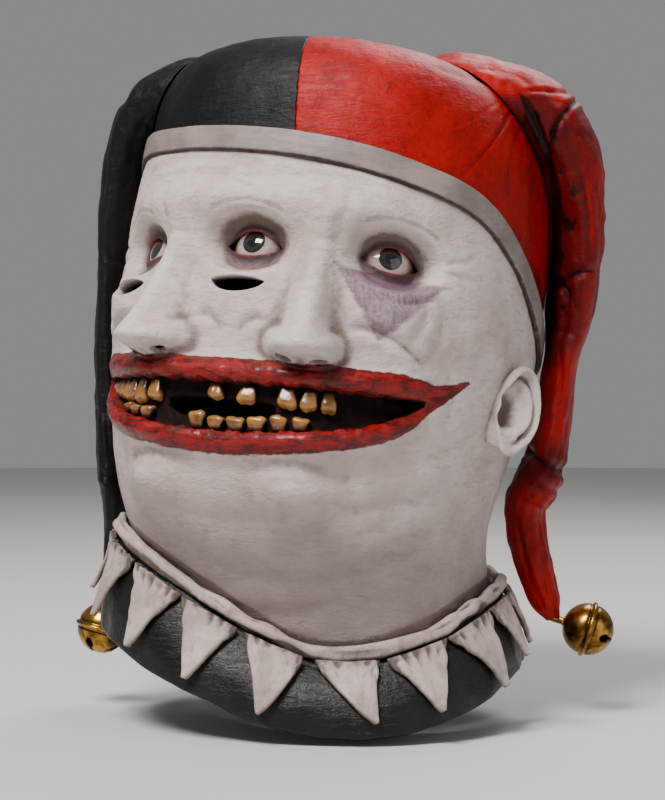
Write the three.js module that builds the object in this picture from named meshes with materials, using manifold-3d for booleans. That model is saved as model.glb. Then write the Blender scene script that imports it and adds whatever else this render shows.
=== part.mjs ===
// Two-faced jester mask, pulled over the head: a hollow latex head with two fused faces that share
// their middle eye, a black and red cap with a grey band, two folded tails with brass jingle bells,
// and a white pointed collar on a black yoke.
// Millimetres, +Z up, the mask looks along -Y, the wearer's left is +X.
// The origin is inside the crown, where the wearer's head bears.

import * as THREE from 'three';
import { mergeVertices } from 'three/addons/utils/BufferGeometryUtils.js';
import Module from 'manifold-3d';

const wasm = await Module();
wasm.setup();

// Driving sizes of the head.
const wall = 3;                 // latex skin
const gap = 0.3;                // clearance between neighbouring pieces
const headWidth = 222;
const frontDepth = 118;         // axis to forehead and face
const backDepth = 122;          // axis to the back of the head
const headHeight = 271;         // crown to chin
const crownZ = wall;            // outer crown, over the origin
const squareness = 2.25;        // exponent of the head's cross-section, 2 is an ellipse

// How the head leans on its neck.
const pitchBack = 14;           // degrees, face up
const rollLeft = 4;             // degrees, wearer's left side down
const pivotZ = -130;
const neckShift = 7;            // the neck's foot stands this far to the wearer's left of the lean

// The two faces, on the thirds and halves that drawing books give.
const faceTurn = 21;            // degrees between each face's midline and the mask's
const eyeTurn = 41;             // degrees to each outer eye
const browAt = 0.44;            // shares of the head's height, down from the crown
const eyeAt = 0.515;
const cheekAt = 0.62;
const noseBaseAt = 0.72;
const mouthAt = 0.83;
const chinAt = 0.965;
const noseHeight = 27;
const noseLength = 68;
const nostrilWide = 7;

// Eyes: resin lenses glued in behind the lids.
const eyeDiameter = 27;
const eyeballRadius = 15.5;
const eyeThick = 8;
const eyeSunk = 4.5;            // apex below the face's surface
const eyePad = 8;               // extra latex that seats an eye
const lidOpeningWide = 33;
const lidOpeningHigh = 15;
const peepWide = 30;            // cut under an eye, to see through
const peepHigh = 12;
const peepDrop = 21;

// The long mouth that both faces share.
const mouthTurn = 57;           // degrees from the middle to each corner
const mouthGape = 25;           // height of the opening between the lips
const cornerRise = 20;
const lipHigh = 11;
const lipProud = 5;
const mouthRecess = 7;          // lips to gum
const mouthWallExtra = 6;
const mouthHoleHigh = 9;
const mouthHoleFrom = -17;      // degrees
const mouthHoleTo = 15;

// Ears.
const earTurn = 87;             // degrees
const earAt = 0.75;
const earHigh = 60;
const earDeep = 32;
const earProud = 15;
const hiddenEarProud = 6;       // the ear that lies pressed under the black tail

// Cap, turned on the head.
const capTurn = 14;             // degrees to the wearer's left
const capProud = 2.4;           // cap over skin
const crownFlat = 9;            // the cap's crown lies this much under the bare head's
const capSquareness = 3.2;
const bandHigh = 12.5;
const bandThick = 3.2;
const rimJoint = 1.6;            // between the skin's rim and the cap's, under the band

// Tails and bells.
const tailPlump = 1;
const bellDiameter = 28;
const bellWall = 1.2;
const bellRimHigh = 2.4;
const bellRimProud = 1.3;
const bellSlot = 2;
const bellSlotHole = 5;
const pelletDiameter = 8;

// Collar and yoke.
const collarThick = 8;
const collarUp = 1.2;            // its middle over the neck's end
const collarRoom = 1.7;          // between the neck's skin and the collar's band
const pointCount = 18;
const pointRoot = 30;
const pointLong = 33;
const pointThick = 3;
const yokeWall = 3;
const tailOverYoke = 8.2;         // clears the collar's points
const yokeHigh = 40;
const yokeFlare = 19;

const degrees = Math.PI / 180;
const zAt = share => crownZ - share * headHeight;

// Cross-sections of the bare head, as shares of the head's height, half width and depths.
const headSections = [
  { at: 0.10, wide: 0.74, front: 0.72, back: 0.72 },
  { at: 0.20, wide: 0.90, front: 0.88, back: 0.88 },
  { at: 0.29, wide: 0.955, front: 0.935, back: 0.955 },
  { at: 0.43, wide: 0.99, front: 0.945, back: 0.99 },
  { at: 0.52, wide: 1.00, front: 0.91, back: 1.00 },
  { at: 0.62, wide: 1.00, front: 0.90, back: 0.97 },
  { at: 0.72, wide: 0.97, front: 0.895, back: 0.91 },
  { at: 0.82, wide: 0.925, front: 0.89, back: 0.84 },
  { at: 0.91, wide: 0.88, front: 0.875, back: 0.79 },
  { at: 1.00, wide: 0.84, front: 0.84, back: 0.76 },
  { at: 1.07, wide: 0.815, front: 0.77, back: 0.74 },
  { at: 1.16, wide: 0.81, front: 0.74, back: 0.74 },
  { at: 1.32, wide: 0.84, front: 0.78, back: 0.76 },
];

// Height of the nose along its ridge, as shares of its length and height.
const noseRidge = [
  { at: -0.15, high: 0.0, wide: 9 },
  { at: 0.0, high: 0.12, wide: 8 },
  { at: 0.25, high: 0.28, wide: 8 },
  { at: 0.50, high: 0.52, wide: 9 },
  { at: 0.75, high: 0.84, wide: 11 },
  { at: 0.88, high: 1.0, wide: 12 },
  { at: 0.96, high: 0.92, wide: 12 },
  { at: 1.03, high: 0.50, wide: 11 },
  { at: 1.12, high: 0.0, wide: 10 },
];

// Centre of the grey band round the head, in degrees from the front and shares of the head's height.
const bandRoute = [
  { turn: -180, at: 0.56 },
  { turn: -140, at: 0.53 },
  { turn: -95, at: 0.39 },
  { turn: -60, at: 0.30 },
  { turn: -25, at: 0.315 },
  { turn: 12, at: 0.33 },
  { turn: 45, at: 0.355 },
  { turn: 63, at: 0.375 },
  { turn: 84, at: 0.44 },
  { turn: 117, at: 0.545 },
  { turn: 150, at: 0.56 },
  { turn: 180, at: 0.56 },
];

// Lower edge of the neck, in degrees from the body's front and shares of the head's height.
const neckRoute = [
  { turn: -180, at: 0.94 },
  { turn: -110, at: 0.985 },
  { turn: -79, at: 1.005 },
  { turn: -49, at: 1.055 },
  { turn: -26, at: 1.115 },
  { turn: 0, at: 1.18 },
  { turn: 20, at: 1.18 },
  { turn: 42, at: 1.145 },
  { turn: 64, at: 1.10 },
  { turn: 101, at: 1.045 },
  { turn: 180, at: 0.94 },
];

// Smooth reading of a table between its rows.
function readTable(rows, key, at, name) {
  let high = 1;
  while (high < rows.length - 1 && rows[high][key] < at) high += 1;
  const before = rows[Math.max(high - 2, 0)];
  const from = rows[high - 1];
  const to = rows[high];
  const after = rows[Math.min(high + 1, rows.length - 1)];
  const t = THREE.MathUtils.clamp((at - from[key]) / (to[key] - from[key]), 0, 1);
  const span = to[key] - from[key];
  const slopeIn = (to[name] - before[name]) / (to[key] - before[key]) * span;
  const slopeOut = (after[name] - from[name]) / (after[key] - from[key]) * span;
  const t2 = t * t;
  const t3 = t2 * t;
  return (2 * t3 - 3 * t2 + 1) * from[name] + (t3 - 2 * t2 + t) * slopeIn
    + (3 * t2 - 2 * t3) * to[name] + (t3 - t2) * slopeOut;
}

const eyeTurns = [-eyeTurn, 0, eyeTurn];

const hill = (distance, width, power = 2) => Math.exp(-(Math.abs(distance / width) ** power));

// The bare head's radius at a turn from the front and a height.
function bareRadius(turn, z) {
  const at = (crownZ - z) / headHeight;
  const wide = readTable(headSections, 'at', at, 'wide') * headWidth / 2;
  const front = readTable(headSections, 'at', at, 'front') * frontDepth;
  const back = readTable(headSections, 'at', at, 'back') * backDepth;
  const c = Math.cos(turn * degrees);
  const s = Math.sin(turn * degrees);
  const deep = c > 0 ? front : back;
  return (Math.abs(s / wide) ** squareness + Math.abs(c / deep) ** squareness) ** (-1 / squareness);
}

function mouthLine(turn) {
  return zAt(mouthAt) + cornerRise * Math.min(Math.abs(turn / mouthTurn), 1.2) ** 2.4;
}

function mouthHalf(turn) {
  const t = Math.min(Math.abs(turn / mouthTurn), 1);
  return mouthGape / 2 * (1 - t ** 2.2) ** 0.8;
}

// How far one face stands out of the bare head along its own forward direction.
function faceRelief(side, z, inward) {
  const noseTop = zAt(noseBaseAt) + noseLength;
  const along = (noseTop - z) / noseLength;
  const inRidge = along > -0.15 && along < 1.12;
  const ridge = inRidge ? readTable(noseRidge, 'at', along, 'high') * noseHeight : 0;
  const ridgeWide = inRidge ? readTable(noseRidge, 'at', along, 'wide') : 9;
  const tipZ = zAt(noseBaseAt) + 5;
  const nose = ridge * hill(side, ridgeWide, 2.3)
    + 0.42 * noseHeight * (hill(side - 13, 7) + hill(side + 13, 7)) * hill(z - tipZ, 8);
  const cheek = 7 * (hill(side - 44, 18) * (inward < 0 ? 0.5 : 1) + hill(side + 44, 18) * (inward > 0 ? 0.5 : 1))
    * hill(z - zAt(cheekAt), 17);
  const brow = 5.5 * hill(z - zAt(browAt), 10) * hill(side, 42, 4);
  const muzzle = 8 * hill(side, 36) * hill(z - zAt(mouthAt), 30);
  const chin = 12 * hill(side, 17) * hill(z - zAt(chinAt), 13);
  const groove = -3 * hill(side, 24) * hill(z - zAt((mouthAt + 2.2 * chinAt) / 3.2), 6);
  return { nose, rest: cheek + brow + muzzle + chin + groove };
}

// A point of the mask's outer skin, before the head leans.
function skinPoint(turn, z) {
  const radius = bareRadius(turn, z);
  const point = new THREE.Vector3(radius * Math.sin(turn * degrees), -radius * Math.cos(turn * degrees), z);
  const push = (angle, amount) => {
    point.x += amount * Math.sin(angle * degrees);
    point.y -= amount * Math.cos(angle * degrees);
  };
  for (const hand of [-1, 1]) {
    const away = turn - hand * faceTurn;
    if (Math.abs(away) > 80) continue;
    const side = radius * Math.sin(away * degrees);
    const relief = faceRelief(side, z, hand);
    push(hand * faceTurn, relief.nose + relief.rest);
    point.z -= 0.22 * relief.nose;
  }
  for (const eye of eyeTurns) {
    const side = radius * Math.sin((turn - eye) * degrees);
    if (Math.abs(turn - eye) > 40) continue;
    const socket = -9 * hill(side, 21) * hill(z - zAt(eyeAt), 14);
    const lids = 5 * hill(side, 16) * hill(z - zAt(eyeAt), 10);
    push(eye, socket + lids);
  }
  const corner = Math.max(0, 1 - Math.abs(turn / mouthTurn) ** 6);
  const up = z - mouthLine(turn) - mouthHalf(turn) - lipHigh / 2;
  const down = mouthLine(turn) - mouthHalf(turn) - lipHigh / 2 - z;
  push(turn, lipProud * corner * (hill(up, lipHigh * 0.55) + 1.15 * hill(down, lipHigh * 0.6)));
  return point;
}

// The lean of the head, which fades out down the neck.
function lean(point) {
  const weight = THREE.MathUtils.smoothstep(point.z, zAt(1.24), zAt(0.88));
  const centred = new THREE.Vector3(point.x, point.y, point.z - pivotZ);
  centred.applyAxisAngle(new THREE.Vector3(1, 0, 0), -pitchBack * weight * degrees);
  centred.applyAxisAngle(new THREE.Vector3(0, 1, 0), rollLeft * weight * degrees);
  const low = 1 - THREE.MathUtils.smoothstep(point.z, zAt(1.2), zAt(0.6));
  return new THREE.Vector3(centred.x + neckShift * low, centred.y, centred.z + pivotZ);
}

const wrap = turn => THREE.MathUtils.euclideanModulo(turn + 180, 360) - 180;
const bandZ = turn => zAt(readTable(bandRoute, 'turn', wrap(turn), 'at'));
const neckZ = turn => zAt(readTable(neckRoute, 'turn', wrap(turn - capTurn), 'at'));

// A closed body through rings of points: its two ends are closed, or it closes on itself.
function loft(rings, closed = false) {
  const count = rings[0].length;
  const points = rings.flat().flatMap(p => [p.x, p.y, p.z]);
  const faces = [];
  const rows = closed ? rings.length : rings.length - 1;
  for (let j = 0; j < rows; j += 1) {
    const next = (j + 1) % rings.length;
    for (let i = 0; i < count; i += 1) {
      const right = (i + 1) % count;
      const a = j * count + i;
      const b = j * count + right;
      const c = next * count + right;
      const d = next * count + i;
      faces.push(a, b, c, a, c, d);
    }
  }
  if (!closed) {
    for (const [ring, offset, flip] of [[rings[0], 0, true], [rings.at(-1), (rings.length - 1) * count, false]]) {
      const centre = new THREE.Vector3();
      ring.forEach(p => centre.addScaledVector(p, 1 / count));
      const hub = points.length / 3;
      points.push(centre.x, centre.y, centre.z);
      for (let i = 0; i < count; i += 1) {
        const right = (i + 1) % count;
        if (flip) faces.push(hub, offset + right, offset + i);
        else faces.push(hub, offset + i, offset + right);
      }
    }
  }
  const geometry = new THREE.BufferGeometry();
  geometry.setAttribute('position', new THREE.Float32BufferAttribute(points, 3));
  geometry.setIndex(faces);
  return faceOutward(geometry);
}

// Turns a closed geometry's faces outward by the sign of its volume.
function faceOutward(geometry) {
  const position = geometry.getAttribute('position');
  const index = geometry.getIndex().array;
  let volume = 0;
  const [a, b, c] = [new THREE.Vector3(), new THREE.Vector3(), new THREE.Vector3()];
  for (let i = 0; i < index.length; i += 3) {
    a.fromBufferAttribute(position, index[i]);
    b.fromBufferAttribute(position, index[i + 1]);
    c.fromBufferAttribute(position, index[i + 2]);
    volume += a.dot(b.cross(c));
  }
  if (volume < 0) {
    for (let i = 0; i < index.length; i += 3) [index[i], index[i + 1]] = [index[i + 1], index[i]];
  }
  return geometry;
}

function solidOf(geometry) {
  const bare = geometry.clone();
  bare.deleteAttribute('normal');
  bare.deleteAttribute('uv');
  const merged = mergeVertices(bare, 1e-4);
  return new wasm.Manifold(new wasm.Mesh({
    numProp: 3,
    vertProperties: Float32Array.from(merged.getAttribute('position').array),
    triVerts: Uint32Array.from(merged.getIndex().array),
  }));
}

function geometryOf(solid) {
  const mesh = solid.getMesh();
  const geometry = new THREE.BufferGeometry();
  geometry.setAttribute('position', new THREE.Float32BufferAttribute(mesh.vertProperties, 3));
  geometry.setIndex(Array.from(mesh.triVerts));
  return geometry;
}

// The biggest connected body of a solid.
function mainBody(solid) {
  const bodies = solid.decompose();
  return bodies.reduce((best, body) => (body.volume() > best.volume() ? body : best));
}

// Turns round the head: fine over the faces, coarse behind.
function turnsRound(fine, coarse) {
  const turns = [];
  const frontHalf = 69;
  for (let i = 0; i < fine; i += 1) turns.push(-frontHalf + 2 * frontHalf * i / fine);
  for (let i = 0; i < coarse; i += 1) turns.push(frontHalf + (360 - 2 * frontHalf) * i / coarse);
  return turns;
}

// Head shell
// Outer skin from the band down to the end of the neck, less the hollow inside.
const skinLevels = [0, 0.08, 0.15, 0.19, 0.23, 0.27, 0.31, 0.35, 0.385, 0.41, 0.435, 0.455, 0.475, 0.505, 0.54,
  0.575, 0.61, 0.64, 0.67, 0.70, 0.735, 0.775, 0.83, 0.91, 1];
const shellTurns = turnsRound(30, 12);

function skinRing(share, turns, place) {
  return turns.map(turn => {
    const top = bandZ(turn) - rimJoint / 2;
    return place(turn, top + (neckZ(turn) - top) * share);
  });
}

function insidePoint(turn, z, depth) {
  const outer = skinPoint(turn, z);
  const extra = mouthWallExtra * hill(z - mouthLine(turn), 26, 4) * hill(turn, mouthTurn, 6);
  const pad = Math.max(...eyeTurns.map(eye => hill((turn - eye) * 2, eyeDiameter * 0.85, 4)))
    * hill(z - zAt(eyeAt), eyeDiameter * 0.75, 4);
  const radius = Math.hypot(outer.x, outer.y);
  const bare = bareRadius(turn, z) + 0.6 * Math.max(0, radius - bareRadius(turn, z));
  const share = (Math.min(radius, bare) - depth - extra - eyePad * pad) / radius;
  return new THREE.Vector3(outer.x * share, outer.y * share, outer.z);
}

const outerSkin = solidOf(loft(skinLevels.map(share => skinRing(share, shellTurns,
  (turn, z) => lean(skinPoint(turn, z))))));
const hollowLevels = [-0.28, 0, 0.12, 0.22, 0.32, 0.42, 0.52, 0.62, 0.72, 0.82, 0.91, 1, 1.12];
const hollow = solidOf(loft(hollowLevels.map(share => skinRing(share, turnsRound(14, 8),
  (turn, z) => {
    const rim = bandZ(turn) - rimJoint / 2;
    const point = insidePoint(turn, Math.min(z, rim), wall);
    return lean(point.setZ(z));
  }))));
let headShell = outerSkin.subtract(hollow);

// A frame on the skin: out of the face at a turn, up the head, with its origin at a depth under the surface.
function skinFrame(turn, z, depth) {
  const surface = skinPoint(turn, z);
  const outward = new THREE.Vector3(Math.sin(turn * degrees), -Math.cos(turn * degrees), 0);
  surface.addScaledVector(outward, -depth);
  const origin = lean(surface);
  const out = lean(surface.clone().add(outward)).sub(origin).normalize();
  const up = lean(surface.clone().add(new THREE.Vector3(0, 0, 1))).sub(origin).normalize();
  const side = new THREE.Vector3().crossVectors(up, out).normalize();
  return new THREE.Matrix4().makeBasis(side, new THREE.Vector3().crossVectors(out, side), out).setPosition(origin);
}

// Eyes
function lensGeometry(extra) {
  const rim = eyeDiameter / 2 + extra;
  const dome = eyeballRadius + extra;
  const sweep = Math.asin(Math.min(rim / dome, 1));
  const profile = [new THREE.Vector2(0, -eyeThick - extra)];
  profile.push(new THREE.Vector2(rim, -eyeThick - extra));
  for (let i = 0; i < 3; i += 1) {
    const angle = sweep * (1 - i / 3);
    profile.push(new THREE.Vector2(dome * Math.sin(angle), dome * Math.cos(angle) - eyeballRadius));
  }
  profile.push(new THREE.Vector2(0, extra));
  const lens = new THREE.LatheGeometry(profile, 10);
  lens.rotateX(Math.PI / 2);
  return lens;
}

function almond(wide, high, from, to) {
  const shape = new THREE.Shape();
  shape.moveTo(-wide / 2, 0);
  shape.quadraticCurveTo(0, high, wide / 2, 0);
  shape.quadraticCurveTo(0, -high, -wide / 2, 0);
  const prism = new THREE.ExtrudeGeometry(shape, { depth: to - from, bevelEnabled: false, curveSegments: 4 });
  prism.translate(0, 0, from);
  return prism;
}

const meshes = [];
function addPiece(name, geometry, material) {
  const mesh = new THREE.Mesh(geometry, material);
  mesh.name = name;
  meshes.push(mesh);
}

const latexWhite = new THREE.MeshStandardMaterial({ color: 0xcdc6c3, roughness: 0.62, metalness: 0 });
const latexGrey = new THREE.MeshStandardMaterial({ color: 0x989089, roughness: 0.6, metalness: 0 });
const latexRed = new THREE.MeshStandardMaterial({ color: 0xa81c14, roughness: 0.5, metalness: 0 });
const latexBlack = new THREE.MeshStandardMaterial({ color: 0x151413, roughness: 0.42, metalness: 0 });
const toothEnamel = new THREE.MeshStandardMaterial({ color: 0xb58f50, roughness: 0.35, metalness: 0 });
const eyeResin = new THREE.MeshStandardMaterial({ color: 0xd8cfca, roughness: 0.15, metalness: 0 });
const bellBrass = new THREE.MeshStandardMaterial({ color: 0xc29a4c, roughness: 0.25, metalness: 1 });

const eyes = [
  { name: 'eye_right_face_outer', turn: -eyeTurn, peep: true },
  { name: 'eye_shared', turn: 0, peep: true },
  { name: 'eye_left_face_outer', turn: eyeTurn, peep: false },
];
for (const eye of eyes) {
  const seat = skinFrame(eye.turn, zAt(eyeAt), eyeSunk);
  const opening = solidOf(almond(lidOpeningWide, lidOpeningHigh, -3, 20).applyMatrix4(seat));
  const socket = solidOf(lensGeometry(gap).applyMatrix4(seat));
  headShell = headShell.subtract(opening).subtract(socket);
  addPiece(eye.name, lensGeometry(0).applyMatrix4(seat), eyeResin);
  if (eye.peep) {
    const frame = skinFrame(eye.turn, zAt(eyeAt) - peepDrop, 0);
    headShell = headShell.subtract(solidOf(almond(peepWide, peepHigh, -24, 14).applyMatrix4(frame)));
  }
}

// Nostrils, two under each nose.
for (const hand of [-1, 1]) {
  for (const wing of [-1, 1]) {
    const turn = hand * faceTurn + wing * 4.2;
    const frame = skinFrame(turn, zAt(noseBaseAt) - 2, 2);
    const nostril = new THREE.ConeGeometry(nostrilWide / 2, 14, 7);
    nostril.rotateX(-0.6);
    headShell = headShell.subtract(solidOf(nostril.applyMatrix4(frame)));
  }
}

// Mouth
// The recess between the lips, its floor a little inside the skin, and the hole between the teeth.
function mouthBlock(from, to, steps, floor, roof, halfHeight) {
  const rings = [];
  for (let i = 0; i <= steps; i += 1) {
    const turn = from + (to - from) * i / steps;
    const outward = new THREE.Vector3(Math.sin(turn * degrees), -Math.cos(turn * degrees), 0);
    const middle = mouthLine(turn);
    const surface = mouthFloor(turn);
    const half = halfHeight(turn);
    const ring = [[floor, -half], [roof, -half - 1], [roof, half + 1], [floor, half]];
    rings.push(ring.map(([out, up]) => lean(outward.clone().multiplyScalar(surface + out)
      .setZ(middle + up))));
  }
  return solidOf(loft(rings));
}

// Radius of the gum behind the teeth.
function mouthFloor(turn) {
  const z = mouthLine(turn);
  const surface = skinPoint(turn, z);
  return Math.hypot(surface.x, surface.y) - mouthRecess;
}

headShell = headShell.subtract(mouthBlock(-mouthTurn * 0.97, mouthTurn * 0.97, 28, 0, 30,
  turn => Math.max(mouthHalf(turn), 0.4)));
headShell = headShell.subtract(mouthBlock(mouthHoleFrom, mouthHoleTo, 6, -30, 12,
  () => mouthHoleHigh / 2));

// Teeth: turn along the mouth, width, height, how far each is pushed askew in degrees.
const teeth = [
  { row: 'upper', turn: -49, wide: 5.9, high: 6.5, askew: 3 },
  { row: 'upper', turn: -45, wide: 6.5, high: 8.3, askew: -4 },
  { row: 'upper', turn: -40.5, wide: 7.0, high: 9.4, askew: 3 },
  { row: 'upper', turn: -35.8, wide: 7.0, high: 10.6, askew: -3 },
  { row: 'upper', turn: -31, wide: 7.6, high: 10.6, askew: 2 },
  { row: 'upper', turn: -26, wide: 8.1, high: 11.8, askew: -5 },
  { row: 'upper', turn: -20.5, wide: 8.1, high: 10.6, askew: 4 },
  { row: 'upper', turn: -2, wide: 7.6, high: 7.7, askew: 8 },
  { row: 'upper', turn: 7.5, wide: 8.6, high: 8.8, askew: -9 },
  { row: 'upper', turn: 18.5, wide: 8.6, high: 10.0, askew: 6 },
  { row: 'upper', turn: 24, wide: 7.6, high: 10.4, askew: -3 },
  { row: 'upper', turn: 29, wide: 7.0, high: 10.0, askew: 4 },
  { row: 'lower', turn: -33, wide: 7.0, high: 4.6, askew: 4 },
  { row: 'lower', turn: -28, wide: 7.6, high: 5.4, askew: -3 },
  { row: 'lower', turn: -22.5, wide: 7.6, high: 6.6, askew: 2 },
  { row: 'lower', turn: -6.5, wide: 8.1, high: 8.8, askew: -6 },
  { row: 'lower', turn: -1, wide: 8.1, high: 7.1, askew: 5 },
  { row: 'lower', turn: 5, wide: 8.6, high: 7.1, askew: -4 },
  { row: 'lower', turn: 11, wide: 8.6, high: 7.7, askew: 5 },
  { row: 'lower', turn: 17, wide: 7.6, high: 8.0, askew: -5 },
  { row: 'lower', turn: 22.5, wide: 7.6, high: 6.6, askew: 6 },
];
const toothDeep = 5;
const toothRoom = 1.3;            // above a tooth's root, under the lip
const gumRoom = 0.8;              // behind a tooth
const toothSections = [
  { at: 0.0, wide: 0.86, deep: 0.8 },
  { at: 0.55, wide: 1.0, deep: 1.0 },
  { at: 1.0, wide: 0.62, deep: 0.6 },
];
const toothCorners = [[0.5, 0], [0.42, 0.72], [0.15, 1], [-0.15, 1], [-0.42, 0.72], [-0.5, 0]];

teeth.forEach((tooth, number) => {
  const upward = tooth.row === 'upper' ? 1 : -1;
  const outward = new THREE.Vector3(Math.sin(tooth.turn * degrees), -Math.cos(tooth.turn * degrees), 0);
  const side = new THREE.Vector3(Math.cos(tooth.turn * degrees), Math.sin(tooth.turn * degrees), 0);
  const root = mouthLine(tooth.turn) + upward * (mouthHalf(tooth.turn) - toothRoom);
  const rings = toothSections.map(section => toothCorners.map(([across, out]) => {
    const height = section.at * tooth.high;
    const slant = Math.tan(tooth.askew * degrees) * (height - tooth.high / 2);
    const point = outward.clone().multiplyScalar(mouthFloor(tooth.turn) + gumRoom + toothDeep * section.deep * out);
    point.addScaledVector(side, tooth.wide * section.wide * across + slant);
    return lean(point.setZ(root - upward * height));
  }));
  addPiece(`tooth_${tooth.row}_${String(number + 1).padStart(2, '0')}`, loft(rings), toothEnamel);
});

// Ears: a flattened shell form with a hollow, grown out of the skin.
function ear(hand, proud, grow) {
  const frame = skinFrame(hand * earTurn, zAt(earAt), 0);
  const rings = [];
  const outline = [
    { turn: 0, reach: 1.0 }, { turn: 40, reach: 1.0 }, { turn: 80, reach: 0.98 }, { turn: 120, reach: 0.86 },
    { turn: 160, reach: 0.72 }, { turn: 200, reach: 0.68 }, { turn: 240, reach: 0.80 }, { turn: 270, reach: 0.96 },
    { turn: 300, reach: 0.84 }, { turn: 330, reach: 0.90 },
  ];
  const steps = [[-6, 0.72], [0.3 * proud, 0.86], [0.9 * proud, 1.0], [proud, 0.86], [0.5 * proud, 0.55]];
  if (grow > 0) steps.splice(3, 2, [proud + grow, 1.0]);
  for (const [out, share] of steps) {
    rings.push(outline.map(row => {
      const backward = Math.cos(row.turn * degrees);
      return new THREE.Vector3(
        hand * (earDeep / 2 + grow) * row.reach * share * backward,
        (earHigh / 2 + grow) * row.reach * share * Math.sin(row.turn * degrees),
        out > 0 ? out * (0.62 + 0.38 * backward) : out,
      ).applyMatrix4(frame);
    }));
  }
  return solidOf(loft(rings));
}
headShell = headShell.add(ear(1, earProud, 0).subtract(hollow));
headShell = headShell.add(ear(-1, hiddenEarProud, 0).subtract(hollow));
headShell = mainBody(headShell);

const roundTurns = Array.from({ length: 20 }, (_, i) => -180 + 18 * i);

// Cap
// A dome from the band over the crown: a rounded box in its upright section, flush with the band.
function capPoint(turn, tilt, depth) {
  const top = crownZ + capProud - crownFlat - depth;
  const rimZ = bandZ(turn) + rimJoint / 2;
  const s = Math.sin(tilt * degrees) ** (2 / capSquareness);
  const c = Math.cos(tilt * degrees) ** (2 / capSquareness);
  const radius = (bareRadius(turn, rimZ) + capRise(tilt) - depth) * s;
  const z = rimZ + (top - rimZ) * c;
  return new THREE.Vector3(radius * Math.sin(turn * degrees), -radius * Math.cos(turn * degrees), z);
}

// The cap swells a little above the band.
function capRise(tilt) {
  return capProud * Math.sin(2 * tilt * degrees);
}

function capDome(depth, drop, turns, rows) {
  const rings = [];
  for (let j = 0; j < rows; j += 1) {
    const tilt = 6 + 84 * j / (rows - 1);
    rings.push(turns.map(turn => lean(capPoint(turn, tilt, depth))));
  }
  if (drop) {
    rings.push(rings.at(-1).map(p => p.clone().add(new THREE.Vector3(0, 0, -drop))));
  }
  return solidOf(loft(rings));
}
const capShell = capDome(0, 0, shellTurns, 7).subtract(capDome(wall, 30, roundTurns, 6));
const capHalfBox = side => {
  const box = new THREE.BoxGeometry(400, 500, 500);
  box.translate(side * (200 + gap / 2), 0, 0);
  box.rotateZ(capTurn * degrees);
  return solidOf(box);
};

// Band
// A flat strip round the head over the joint of skin and cap.
function ringStrip(turns, z, section) {
  return loft(turns.map(turn => section.map(([out, up]) => {
    const level = z(turn) + up;
    const radius = bareRadius(turn, z(turn)) + out;
    return lean(new THREE.Vector3(radius * Math.sin(turn * degrees), -radius * Math.cos(turn * degrees), level));
  })), true);
}
const bandSection = [[gap, -bandHigh / 2], [bandThick, -bandHigh / 2 + 0.6], [bandThick, bandHigh / 2 - 0.6],
  [gap, bandHigh / 2]];
const band = solidOf(ringStrip(shellTurns, bandZ, bandSection));
const bandRoom = solidOf(ringStrip(shellTurns, bandZ, [[-0.3, -bandHigh / 2 - gap], [9, -bandHigh / 2 - gap],
  [9, bandHigh / 2 + gap], [-0.3, bandHigh / 2 + gap]]));

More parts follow.
